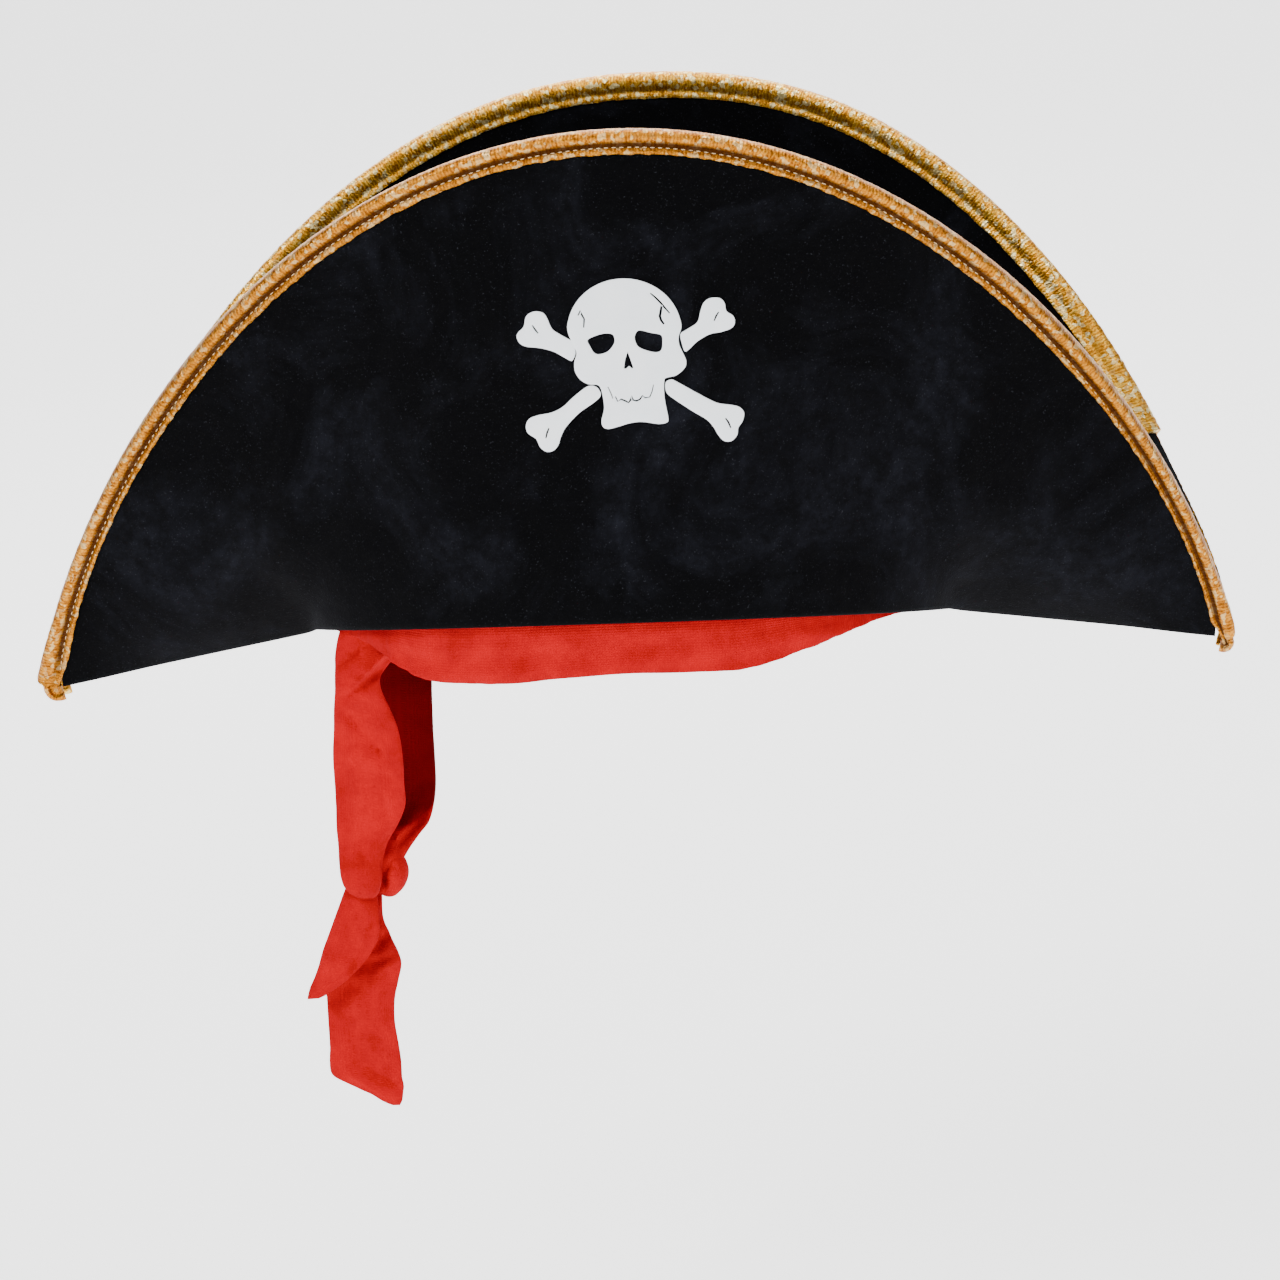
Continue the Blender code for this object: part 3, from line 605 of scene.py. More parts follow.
def flap_frame(flap, x, v):
    """Unit vectors off the flap and up it."""
    along = flap_point(flap, x + 0.2 * MM, v) - flap_point(flap, x - 0.2 * MM, v)
    up = flap_point(flap, x, v + 0.002) - flap_point(flap, x, v - 0.002)
    return outward(flap, along, up), up.normalized()


def flat_normal(flap, x, z):
    along = flap_point_flat(flap, x + 0.4 * MM, z) - flap_point_flat(flap, x - 0.4 * MM, z)
    up = flap_point_flat(flap, x, z + 0.4 * MM) - flap_point_flat(flap, x, z - 0.4 * MM)
    return outward(flap, along, up)


print("front flap: top edge", round(edge_height(FRONT, 0) * 1000), "mm above the rim, crease at the tip",
      round(crease_height(HALF_WIDTH) * 1000), "mm")

# %% [markdown]
# ## Velour skins
#
# On the real hat the outer velour goes under the bottom edge of the foam and is caught in the seam
# on the inside, so its lower edge is a soft roll. The skin here does the same: the first rows turn
# round the foam, the rest climb to the edge. A slight quilting, a fraction of a millimetre deep,
# keeps the big black shape from looking like sheet metal. In the wings the two inner skins turn
# towards each other at the bottom and meet in the seam that closes the hat at both sides. The foam
# between the skins is cut on the same lines, so that no facet of it can show through the cloth.

# %% Skins of both flaps
ROLL_ROWS = 0.10                 # share of the outer skin that is rolled under the foam
LIP, LIP_ROWS = 40 * MM, 0.12    # the inner skin's first rows lie closer together, for its lip
CROWN_ROOM = (118.4 * MM, 80.4 * MM)         # oval that the inner skins leave free for the crown
SKIN_END = 0.974                 # share of the way to the tip at which the skins stop


def skin_column(s):
    """Even columns, a little closer together towards the tips."""
    spread = math.radians(72)
    return PANEL_HALF_WIDTH * SKIN_END * math.sin((2 * s - 1) * spread) / math.sin(spread)


def outer_skin_place(flap):
    def place(s, t):
        x = skin_column(s)
        if t < ROLL_ROWS:
            normal, up = flap_frame(flap, x, 0.004)
            turn = math.pi * (1 - t / ROLL_ROWS)
            return flap_point(flap, x, 0.004) + normal * FACE * math.cos(turn) - up * FACE * math.sin(turn)
        v = 0.004 + 0.992 * (t - ROLL_ROWS) / (1 - ROLL_ROWS)
        normal, _ = flap_frame(flap, x, v)
        point = flap_point(flap, x, v)
        inside = 4 * v * (1 - v)
        quilting = 0.22 * wobble(*point, 0.045) + 0.10 * wobble(*point, 0.012, 3)
        return point + normal * (FACE + quilting * MM * inside)
    return place


def inner_skin_place(flap):
    def place(s, t):
        x = skin_column(s)
        tall = edge_height(flap, x) - crease_height(x)
        crowding = min(1.0, LIP / tall) if t < LIP_ROWS else 1.0
        v = 0.012 + 0.984 * crowding * t
        normal, _ = flap_frame(flap, x, v)
        point = flap_point(flap, x, v)
        quilting = 0.20 * wobble(*point, 0.04, 7) * 4 * v * (1 - v)
        laid = point - normal * (FACE + quilting * MM)
        beside_crown = CROWN_ROOM[1] * math.sqrt(max(0.0, 1 - (x / CROWN_ROOM[0]) ** 2))
        seam = (1 - ease(v * tall, 1.5 * MM, 7 * MM)) * ease(abs(x), 98 * MM, 106 * MM)
        laid.y += (flap.side * max(0.4 * MM, beside_crown) - laid.y) * seam
        return laid
    return place


def foam_place(flap):
    return lambda s, t: flap_point(flap, skin_column(s), 0.004 + 0.990 * t)


FLAP_CUT = (0.50, 0.24)


def make_skin(flap, face, place, node, rows):
    skin = lay_cloth(f"{flap.name}_velour_{face}", 210, rows, place, FLAP_CUT)
    thicken(skin, 0.6 * MM)
    merge_and_face_out(skin)
    smooth(skin)
    skin.data.materials.append(VELOUR)
    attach(skin, "hat")
    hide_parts(node)
    return skin


def make_foam(flap):
    foam = lay_cloth(f"{flap.name}_flap_foam_sheet", 210, 40, foam_place(flap), FLAP_CUT)
    thicken(foam, 2.1 * MM)
    merge_and_face_out(foam)
    smooth(foam)
    foam.data.materials.append(FOAM)
    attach(foam, "hat")
    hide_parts(f"{flap.name}_flap_foam")
    return foam


for flap in (FRONT, BACK):
    make_foam(flap)
    outer = make_skin(flap, "outer", outer_skin_place(flap), f"{flap.name}_flap_velour_outer", 66)
    inner = make_skin(flap, "inner", inner_skin_place(flap), f"{flap.name}_flap_velour_inner", 48)
    print(flap.name, "skins:", len(outer.data.polygons), "and", len(inner.data.polygons), "faces")

# %% [markdown]
# ## Gold binding
#
# A strip of lame is folded over the edge and stitched through. The stitch line pulls it tight, which
# leaves three things to see: a plump roll on the edge, a dark valley along the stitches and a narrow
# wavy hem beyond. `BINDING_SECTION` is that section as a curve from one hem over the edge to the
# other: how far off the flap, and how far down into it. The strip follows a path that comes up round
# the left tip, over the top and down round the right tip.

# %% Binding path and section
TIP_ARC = {-1: 4.6 * MM, 1: 3.0 * MM}        # radius of the rounded end of a wing
TIP_CENTRE = {-1: -36.2 * MM, 1: -33.6 * MM}  # height of the middle of that end
TIP_TURN = 115                                # degrees that the strip goes round it


def binding_path(flap):
    """Flat (x, z) points of the folded edge, from the left tip over the top to the right tip."""
    points = []
    for k in range(481):
        x = PANEL_HALF_WIDTH * math.sin(math.pi * (k / 480 - 0.5))
        if edge_height(flap, x) > TIP_CENTRE[-1 if x < 0 else 1]:
            points.append(Vector((x, edge_height(flap, x))))

    def round_the_tip(side):
        centre = Vector((side * (PANEL_HALF_WIDTH - TIP_ARC[side]), TIP_CENTRE[side]))
        turns = [math.radians(TIP_TURN * n / 12) for n in range(1, 13)]
        return [centre + Vector((side * math.cos(a), -math.sin(a))) * TIP_ARC[side] for a in turns]
    return round_the_tip(-1)[::-1] + points + round_the_tip(1)


def even_steps(points, step):
    """The same line with points an even step apart, and its whole length."""
    lengths = [0.0]
    for a, b in zip(points, points[1:]):
        lengths.append(lengths[-1] + (b - a).length)
    count, out, k = round(lengths[-1] / step), [], 0
    for n in range(count + 1):
        target = lengths[-1] * n / count
        while k < len(points) - 2 and lengths[k + 1] < target:
            k += 1
        share = (target - lengths[k]) / max(lengths[k + 1] - lengths[k], 1e-9)
        out.append(points[k].lerp(points[k + 1], min(1.0, max(0.0, share))))
    return out, lengths[-1]


HEM, VALLEY = 7.2, 4.7           # millimetres into the flap
FRONT_SECTION = [(2.72, HEM), (3.30, HEM - 0.6), (3.25, 5.9), (2.62, 5.2), (2.55, 4.3), (2.75, 3.4),
                 (3.9, 2.5),
                 (4.75, 1.1), (4.5, -0.4), (2.9, -1.5), (0, -1.8)]
BACK_SECTION = [(2.72, HEM + 0.4), (3.0, HEM - 0.3), (2.95, 6.0), (2.85, 5.1), (3.2, 4.1), (3.7, 3.0),
                (4.1, 1.8),
                (4.3, 0.6), (3.9, -0.6), (2.5, -1.5), (0, -1.8)]


def section_point(section, share):
    """Smooth curve through the section: share 0 on the outer hem, 0.5 on the edge, 1 on the inner hem."""
    mirrored = [(-u, w) for u, w in reversed(section[:-1])]
    whole = section + mirrored
    place = share * (len(whole) - 1)
    u = through([(k, p[0]) for k, p in enumerate(whole)], place)
    w = through([(k, p[1]) for k, p in enumerate(whole)], place)
    return u * MM, w * MM


print("front path is", round(even_steps(binding_path(FRONT), 0.7 * MM)[1] * 1000), "mm long")

# %% [markdown]
# The pleats run across the strip. They are uneven, so their height comes from noise that changes
# quickly along the strip and slowly across it. On the right of the back flap the wing rolls away
# from the viewer: there the inner hem of the strip ends in a cut corner, and only the outer half
# goes on to the tip.

# %% Make the bindings
INNER_HEM_END = 199 * MM         # x where the back flap's inner hem ends
INNER_STITCHES_END = 195 * MM
BINDING_PLY = 0.35 * MM
TIP_CLEARANCE = 3.1 * MM         # how far off the flap the strip stays where it narrows to a tip
FRONT_NARROWING = 0.25           # the front strip loses this share of its depth on the right


def make_binding(flap, section, material, pleat, step=0.7 * MM, around=40):
    line, length = even_steps(binding_path(flap), step)
    count = len(line) - 1
    tangents = [(line[min(count, k + 2)] - line[max(0, k - 2)]).normalized() for k in range(count + 1)]

    def place(s, t):
        k = round(s * count)
        here, tangent, distance = line[k], tangents[k], s * length
        inward = Vector((tangent.y, -tangent.x))
        u, w = section_point(section, t)
        end = min(distance, length - distance)
        tip = TIP_ARC[-1 if here.x < 0 else 1]
        reach = tip / (HEM * MM) + (1 - tip / (HEM * MM)) * ease(end, 9 * MM, 24 * MM)
        narrow = 1 - FRONT_NARROWING * ease(here.x, 0.140, 0.215) * (flap is FRONT)
        w = w * min(reach, narrow) if w > 0 else w * (0.7 + 0.3 * reach)
        if w > 0.8 * MM:
            u += (math.copysign(TIP_CLEARANCE, u) - u) * (1 - ease(end, 9 * MM, 20 * MM))
        u *= min(1.0, end / (3.5 * MM)) ** 0.5
        edge = abs(2 * t - 1)
        w += 0.35 * MM * edge ** 6 * wobble(distance, t, flap.side, 2.6 * MM) * reach
        if flap.curl and here.x > INNER_HEM_END and t > 0.5:
            w = min(w, -1.2 * MM + 0.6 * MM * (t - 0.5))
            u = max(u, -0.6 * MM)
        fine = 0.75 * wobble(distance, t * 0.004, 0, 1.5 * MM, flap.side)
        coarse = 0.45 * wobble(distance, t * 0.02, 0, 3.4 * MM, 5)
        crumple = pleat * (0.4 + 0.6 * reach) * (fine + coarse)
        tight = 1 - 0.75 * bump(w, VALLEY * MM, 1.0 * MM)
        flat = here + inward * w
        flat -= inward * crumple * tight * 0.7 * bump(w, -1.7 * MM, 2.2 * MM)
        normal = flat_normal(flap, here.x + inward.x * max(w, 0), here.y + inward.y * max(w, 0))
        lift = u + math.copysign(1, u) * crumple * tight * min(1.0, abs(u) / MM)
        return flap_point_flat(flap, flat.x, flat.y) + normal * lift
    binding = lay_cloth(f"{flap.name}_gold_binding", count, around, place, (length, BINDING_CLOTH))
    thicken(binding, BINDING_PLY, offset=-1)
    merge_and_face_out(binding, 0.000002)
    smooth(binding, 70)
    binding.data.materials.append(material)
    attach(binding, "hat")
    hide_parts(f"{flap.name}_flap_gold_binding")
    print(binding.name, round(length * 1000), "mm long,", len(binding.data.polygons), "faces")
    return line


front_edge = make_binding(FRONT, FRONT_SECTION, FRONT_LAME, 0.20 * MM)
back_edge = make_binding(BACK, BACK_SECTION, BACK_LAME_PAINTED_LIGHT, 0.30 * MM)

# %% [markdown]
# ## Stitches
#
# One stitch is a small grain-shaped bead of thread, modelled once. It is copied along the valley of
# each binding, turned to the line, and all copies of one seam are joined into a single piece.

# %% Stitch seams
def stitch_mesh(length, width):
    bpy.ops.object.select_all(action="DESELECT")
    bpy.ops.mesh.primitive_uv_sphere_add(segments=6, ring_count=4, radius=1)
    bead = bpy.context.object
    bead.data.transform(Matrix.Diagonal((length / 2, width / 2, width / 2, 1)))
    return bead


def sew(name, places, length, width, material, body="hat"):
    """Copy one stitch to each (point, direction, normal) and join the copies."""
    bead = stitch_mesh(length, width)
    whole = bmesh.new()
    for point, along, normal in places:
        side = normal.cross(along).normalized()
        turn = Matrix((along.normalized(), side, normal)).transposed().to_4x4()
        turn.translation = point
        copy = bead.data.copy()
        copy.transform(turn)
        whole.from_mesh(copy)
        bpy.data.meshes.remove(copy)
    whole.to_mesh(bead.data)
    whole.free()
    bead.name = bead.data.name = name
    bead.data.materials.append(material)
    smooth(bead, 60)
    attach(bead, body)
    print(name, "has", len(places), "stitches")
    return bead


def binding_seam(flap, line, side, depth_in, lift, pitch, last_x=HALF_WIDTH):
    """Stitch places along a binding, on the outer (1) or the inner (-1) face."""
    places, gap = [], 0.0
    for a, b in zip(line, line[1:]):
        gap += (b - a).length
        if gap < pitch or min((a - line[0]).length, (a - line[-1]).length) < 14 * MM or a.x > last_x:
            continue
        gap = 0.0
        tangent = (b - a).normalized()
        flat = a + Vector((tangent.y, -tangent.x)) * depth_in
        normal = flat_normal(flap, flat.x, flat.y) * side
        here = flap_point_flat(flap, flat.x, flat.y) + normal * lift
        ahead = flap_point_flat(flap, flat.x + tangent.x * MM, flat.y + tangent.y * MM) + normal * lift
        places.append((here, (ahead - here).normalized(), normal))
    return places


for flap, line in ((FRONT, front_edge), (BACK, back_edge)):
    seams = binding_seam(flap, line, 1, VALLEY * MM, 2.85 * MM, 2.7 * MM)
    last_x = INNER_STITCHES_END if flap is BACK else HALF_WIDTH
    seams += binding_seam(flap, line, -1, VALLEY * MM, 2.85 * MM, 2.7 * MM, last_x)
    sew(f"{flap.name}_binding_stitches", seams, 1.7 * MM, 0.42 * MM, TAN_THREAD)

# %% [markdown]
# ## Crown
#
# The crown is soft velour: a front and a back panel joined at the sides and an oval top set in with
# a seam. Nothing stiffens it, so it wrinkles a little, most of all below the seam at the top. Behind
# it hangs the lining, and round the opening inside runs a folded sweatband.

# %% Crown curves
CROWN_BASE, CROWN_SHOULDER = (117 * MM, 79.5 * MM), (88 * MM, 58 * MM)
CROWN_SWELL, SHOULDER_HEIGHT, CROWN_DOME = 6 * MM, 98 * MM, 9 * MM


def crown_point(angle, level, inset):
    swell = CROWN_SWELL * 4 * level * (1 - level) - inset
    x = (CROWN_BASE[0] + (CROWN_SHOULDER[0] - CROWN_BASE[0]) * level + swell) * math.cos(angle)
    y = (CROWN_BASE[1] + (CROWN_SHOULDER[1] - CROWN_BASE[1]) * level + swell) * math.sin(angle)
    rim = crease_height(x)
    return Vector((x, y, rim + (SHOULDER_HEIGHT - rim) * level))


def crown_panel_place(start):
    def place(s, t):
        angle = start + 0.004 + (math.pi - 0.008) * s
        gathers = 0.5 * math.sin(34 * angle + 3 * math.sin(5 * angle)) * ease(t, 0.55, 1.0)
        slack = 1.1 * wobble(math.cos(angle), math.sin(angle), t, 0.3, 2) * 4 * t * (1 - t)
        near_seam = 0.6 * (bump(s, 0, 0.012) + bump(s, 1, 0.012)) + 0.6 * bump(t, 1, 0.04)
        return crown_point(angle, t, (0.5 - 0.6 * gathers * t * (1 - 0.5 * t) - slack + near_seam) * MM)
    return place


def disc(s, t):
    """A square spread over a round disc, so that the top needs no pole."""
    a, b = 2 * s - 1, 2 * t - 1
    return a * math.sqrt(1 - b * b / 2), b * math.sqrt(1 - a * a / 2)


def crown_top_place(s, t):
    a, b = disc(s, t)
    out = math.hypot(a, b)
    height = SHOULDER_HEIGHT + 0.9 * MM + CROWN_DOME * (1 - out ** 2)
    height += 0.9 * MM * wobble(a, b, 0, 0.4, 4) * (1 - out ** 6) - 0.7 * MM * bump(out, 1, 0.03)
    return Vector((CROWN_SHOULDER[0] * a, CROWN_SHOULDER[1] * b, height))


def finish_cloth(piece, thickness, material, node):
    thicken(piece, thickness)
    merge_and_face_out(piece)
    smooth(piece)
    piece.data.materials.append(material)
    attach(piece, "hat")
    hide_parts(node)
    print(piece.name, "has", len(piece.data.polygons), "faces")
    return piece


for name, start in (("front", math.pi), ("back", 0.0)):
    panel = lay_cloth(f"crown_{name}_velour", 130, 34, crown_panel_place(start), (0.31, 0.115))
    finish_cloth(panel, 0.8 * MM, VELOUR, f"crown_{name}_panel")
top = lay_cloth("crown_top_velour", 64, 48, crown_top_place, (0.178, 0.118))
finish_cloth(top, 0.8 * MM, VELOUR, "crown_top_panel")

# %% [markdown]
# The lining is one closed bag with its own gentle creases, sewn from four gores whose seams show as
# faint ridges. The sweatband is a folded strip that stands against it. Its lower edge is bound, and
# a line of black stitches runs near the top and the bottom.

# %% Lining and sweatband
def lining_place(s, t):
    angle = 2 * math.pi * s
    level = min(1.0, t / 0.68)
    creases = 0.8 * wobble(math.cos(angle), math.sin(angle), level, 0.35, 9) * 4 * level * (1 - level)
    gore = 0.5 * bump(math.sin(2 * angle), 0, 0.05)
    side = crown_point(angle, level, (1.75 + abs(creases) + gore) * MM)
    if t <= 0.68:
        return side - Vector((0, 0, 0.6 * MM * level))
    out = 1 - (t - 0.68) / 0.32
    inset = 1.9 * MM
    return Vector(((CROWN_SHOULDER[0] - inset) * out * math.cos(angle), (CROWN_SHOULDER[1] - inset) * out
                   * math.sin(angle), SHOULDER_HEIGHT - 1.1 * MM + (CROWN_DOME - 0.2 * MM) * (1 - out ** 2)))


lining = lay_cloth("crown_lining_cloth", 180, 56, lining_place, (0.62, 0.175))
merge_and_face_out(lining)
finish_cloth(lining, 0.5 * MM, LINING, "crown_lining")

BAND_TOP, BAND_INSET, RIM_LENGTH = 28 * MM, 3.9 * MM, 0.6


def sweatband_place(s, t):
    """A closed strip section: up the outer face, over the fold and down the inner face."""
    angle, around = 2 * math.pi * s, 2 * math.pi * t
    height = BAND_TOP * (0.5 - 0.5 * math.cos(around))
    level = height / SHOULDER_HEIGHT
    face = -math.sin(around)
    round_edge = min(1.0, 5 * abs(face))
    piping = 0.35 * (bump(height, 2 * MM, 1.4 * MM) + bump(height, BAND_TOP - 2.4 * MM, 1.2 * MM))
    ripple = 0.25 * wobble(math.cos(angle), math.sin(angle), height * 30, 0.12, 6)
    inset = BAND_INSET + (0.75 + piping) * MM * math.copysign(round_edge, -face) + ripple * MM
    swell = CROWN_SWELL * 4 * level * (1 - level) - inset
    x = (CROWN_BASE[0] + (CROWN_SHOULDER[0] - CROWN_BASE[0]) * level + swell) * math.cos(angle)
    y = (CROWN_BASE[1] + (CROWN_SHOULDER[1] - CROWN_BASE[1]) * level + swell) * math.sin(angle)
    return Vector((x, y, height))


sweatband = lay_cloth("sweatband_cloth", 200, 28, sweatband_place, (0.60, 0.056))
merge_and_face_out(sweatband)
smooth(sweatband)
sweatband.data.materials.append(LINING)
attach(sweatband, "hat")
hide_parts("sweatband")


def ring_seam(height, inset, pitch):
    places, level = [], height / SHOULDER_HEIGHT
    swell = CROWN_SWELL * 4 * level * (1 - level) - inset
    radii = [CROWN_BASE[k] + (CROWN_SHOULDER[k] - CROWN_BASE[k]) * level + swell for k in (0, 1)]
    for k in range(round(RIM_LENGTH / pitch)):
        angle = 2 * math.pi * k * pitch / RIM_LENGTH
        point = Vector((radii[0] * math.cos(angle), radii[1] * math.sin(angle), height))
        along = Vector((-radii[0] * math.sin(angle), radii[1] * math.cos(angle), 0)).normalized()
        places.append((point, along, Vector((-along.y, along.x, 0))))
    return places


sew("sweatband_stitches", ring_seam(3.4 * MM, BAND_INSET + 1.05 * MM, 4 * MM)
    + ring_seam(24.2 * MM, BAND_INSET + 1.1 * MM, 4 * MM), 2.4 * MM, 0.5 * MM, BLACK_THREAD)

# %% [markdown]
# ## Skull and crossed bones
#
# The emblem is thick white ink, so it stands a little above the pile and has rounded edges. It is
# drawn as a flat outline with holes, as a 2D curve; the curve's own extrusion and bevel give the
# thickness. The curve becomes a mesh, is cut by a fine lattice so that it can bend, and is then laid
# on the flap.

# %% Outlines of the print
PRINT_CENTRE, PRINT_TILT, PRINT_SCALE = (10 * MM, 95 * MM), math.radians(-2.8), 0.94


def arc(centre, radii, start, end, steps):
    angles = [math.radians(start + (end - start) * k / steps) for k in range(steps + 1)]
    return [(centre[0] + radii[0] * math.cos(a), centre[1] + radii[1] * math.sin(a)) for a in angles]


def rounded(points, steps=5):
    """A closed smooth line through the points."""
    out, count = [], len(points)
    for k in range(count):
        p0, p1, p2, p3 = (Vector(points[(k + n) % count]) for n in (-1, 0, 1, 2))
        for n in range(steps):
            t = n / steps
            out.append(tuple(0.5 * (2 * p1 + (p2 - p0) * t + (2 * p0 - 5 * p1 + 4 * p2 - p3) * t * t
                                    + (3 * p1 - p0 - 3 * p2 + p3) * t ** 3)))
    return out


def scratch(points, width):
    """A thin closed outline along a line, tapered to its ends: a scratch in the ink."""
    left, right, last = [], [], len(points) - 1
    for k, point in enumerate(points):
        here = Vector(point)
        along = (Vector(points[min(last, k + 1)]) - Vector(points[max(0, k - 1)])).normalized()
        half = width / 2 * (0.55 + 0.45 * math.sin(math.pi * (k + 0.5) / (last + 1)))
        side = Vector((-along.y, along.x)) * half
        left.append(tuple(here + side))
        right.append(tuple(here - side))
    return left + right[::-1]


SKULL = arc((-2.3, 14), (21.5, 20), 5, 180, 14) + [
    (-21.8, 8.6), (-20.3, 5.2), (-21.2, 1.5), (-20.9, -2), (-19, -5), (-16, -6.7), (-12.6, -6.9),
    (-11.2, -8.3),
    (-10.3, -12), (-9.9, -16.5), (-10.9, -21), (-10.3, -23.4), (-8.2, -24.1), (-4.5, -23.1), (0, -21.7),
    (4.5, -21.2), (10.5, -22), (13.6, -21.5), (14.2, -19.8), (13.1, -14), (12.6, -9.5), (12.7, -5),
    (13.8, -3.9),
    (17.3, -3), (20.4, -0.2), (20.9, 2.6), (19.6, 5.7), (18.3, 8.8), (18.1, 12)]
LEFT_EYE = [(-16.4, 10.2), (-14, 11.8), (-10.1, 13), (-6.9, 12.8), (-5.9, 11), (-6.2, 8.8), (-8.5, 5.9),
            (-12, 4.7), (-14, 5.5), (-15.3, 7.6)]
RIGHT_EYE = [(1.5, 11), (2.1, 13.5), (3.7, 14.4), (7.6, 13.5), (11.7, 12.5), (12.2, 9.4), (11.8, 6.7),
             (9.9, 5.7),
             (6.4, 6.3), (2.9, 7.9)]
NOSE = [(-1.05, 6.4), (0.1, 3.1), (1.25, -0.2), (0.6, -0.7), (-0.5, 0.3), (-1.7, -0.8), (-2.6, -0.6),
(-2.1, 3.1)]
MOUTH = [(-8.6, -7.6), (-7.3, -10.5), (-6.7, -12.3), (-5.7, -11.5), (-4.8, -13.4), (-3.6, -12.5),
         (-1.8, -13.2),
         (-0.7, -13.8), (0.1, -12.7), (0.4, -11.1), (1.0, -12.8), (2.3, -13.1), (3.6, -12.5), (4.6, -11.0),
         (5.5, -11.9), (7.3, -11.6), (8.2, -9.4), (8.8, -6.6)]
CRACKS = [[(7.4, 28.7), (9.4, 27), (11.3, 25.1), (13, 23), (14.9, 20.8)],
          [(11.7, 23.9), (11.5, 22), (11.1, 19.8), (11.6, 18.2), (12.7, 16.7)],
          [(-19.9, 19.6), (-18.9, 21.7), (-18.5, 20.2), (-17.5, 18.4), (-17.7, 14.9)]]
BONES = {
    "upper_left": ([(-22.3, 9.6), (-23.6, 10.4), (-27.7, 12.7), (-30.1, 14.6), (-32.3, 19.4), (-34.4, 20.7),
                    (-37.1, 20.6), (-39.6, 18.8), (-40.5, 14.9), (-42.6, 12.6), (-43.2, 10.9), (-42.1, 8.5),
                    (-39.5, 7.3), (-34.4, 6.9), (-29.3, 5.7), (-25.8, 3.9), (-22.8, 2.3), (-21.9, 2.6),
                    (-21.0, 5.0), (-21.4, 7.4)], [(-37.4, 15.7), (-36.3, 14), (-35, 12.4)]),
    "upper_right": ([(19.0, 12.7), (21.3, 14.5), (25.3, 17.3), (26.4, 21.2), (27.6, 24.7), (30, 26.5),
                     (33.5, 26.5),
                     (35.3, 24.7), (36, 21.6), (38.6, 19.6), (39.2, 17.1), (38, 15.1), (34.3, 13.7),
                     (30, 12.9),
                     (25.3, 10.2), (22.1, 7.1), (20.6, 6.3), (19.6, 9)], [(33.3, 21.4), (32.2, 19.6),
                     (31.5, 17.7)]),
    "lower_left": ([(-13.2, -7.9), (-12.2, -8.8), (-11.4, -11.2), (-14, -13.9), (-19.5, -18), (-24.5, -23.5),
                    (-26.6, -27.5), (-27.7, -31), (-29.7, -33.3), (-32.4, -33.6), (-34.6, -31.8),
                    (-36, -28.8),
                    (-39.1, -26.7), (-39.9, -23.9), (-38.7, -21.2), (-35.2, -19.6), (-30.1, -18.4),
                    (-25.8, -16.1),
                    (-21.8, -12.2), (-17.1, -8.3), (-14.8, -7.5)], [(-31.1, -24.3), (-31.9, -26.4),
                    (-32.4, -28.6)]),
    "lower_right": ([(13.5, -5.9), (15.4, -4.9), (17.4, -5.7), (24.5, -9.8), (30, -12.9), (33.5, -14.4),
                     (38.2, -15.1), (41.3, -16.1), (42.8, -18.4), (42.1, -21.6), (40.6, -23.9), (40.2, -26.7),
                     (38.2, -29), (35.5, -29), (33.3, -26.7), (31.5, -23.5), (28.8, -20.4), (23.7, -17.2),
                     (17.4, -12.9), (14.4, -10.6), (13.4, -8.6)], [(35.8, -20), (37, -21.7), (38, -24.2)]),
}
print("print: 1 skull and", len(BONES), "bone ends")


# %% Ink pieces
INK_HALF = 0.30 * MM             # half thickness of the ink, its rounded edge included
INK_ROUND = 0.12 * MM
INK_MIDDLE = 2.42 * MM           # middle of the ink, off the middle of the flap
LATTICE_STEP, LATTICE_CUTS = 4 * MM, 11      # cuts each way from the middle, so that the ink can bend


def print_to_flap(u, w, offset):
    u, w = u * PRINT_SCALE, w * PRINT_SCALE
    x = PRINT_CENTRE[0] + u * math.cos(PRINT_TILT) - w * math.sin(PRINT_TILT)
    z = PRINT_CENTRE[1] + u * math.sin(PRINT_TILT) + w * math.cos(PRINT_TILT)
    flat_x = x - FRONT.lean * (z - TIP_HEIGHT) / FRONT.whole_rise
    return flap_point_flat(FRONT, flat_x, z) + flat_normal(FRONT, flat_x, z) * offset


def ink_piece(name, outlines, node):
    shape = bpy.data.curves.new(name, "CURVE")
    shape.dimensions = "2D"
    shape.fill_mode = "BOTH"
    shape.extrude = INK_HALF - INK_ROUND
    shape.bevel_depth = INK_ROUND
    shape.bevel_resolution = 1
    for outline in outlines:
        line = shape.splines.new("POLY")
        line.points.add(len(outline) - 1)
        for point, (u, w) in zip(line.points, outline):
            point.co = (u * MM, w * MM, 0, 1)
        line.use_cyclic_u = True
    ink = bpy.data.objects.new(name, shape)
    bpy.context.scene.collection.objects.link(ink)
    select_only(ink)
    bpy.ops.object.convert(target="MESH")
    ink = bpy.context.object
    lattice = []
    for axis in ((1, 0, 0), (0, 1, 0)):
        for cut in range(-LATTICE_CUTS, LATTICE_CUTS + 1):
            lattice.append(lambda a=axis, c=cut: bpy.ops.mesh.bisect(
                plane_co=Vector(a) * c * LATTICE_STEP, plane_no=a))
            lattice.append(lambda: bpy.ops.mesh.select_all(action="SELECT"))
    in_edit_mode(ink, lambda: bpy.ops.mesh.remove_doubles(threshold=0.000003), *lattice,
                 lambda: bpy.ops.mesh.normals_make_consistent(inside=False))
    for vertex in ink.data.vertices:
        u, w, lift = vertex.co
        vertex.co = print_to_flap(u, w, INK_MIDDLE + lift)
    in_edit_mode(ink, lambda: bpy.ops.mesh.normals_make_consistent(inside=False))
    smooth(ink, 30)
    ink.data.materials.append(PRINT)
    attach(ink, "hat")
    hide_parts(node)
    print(name, "has", len(ink.data.polygons), "faces")
    return ink


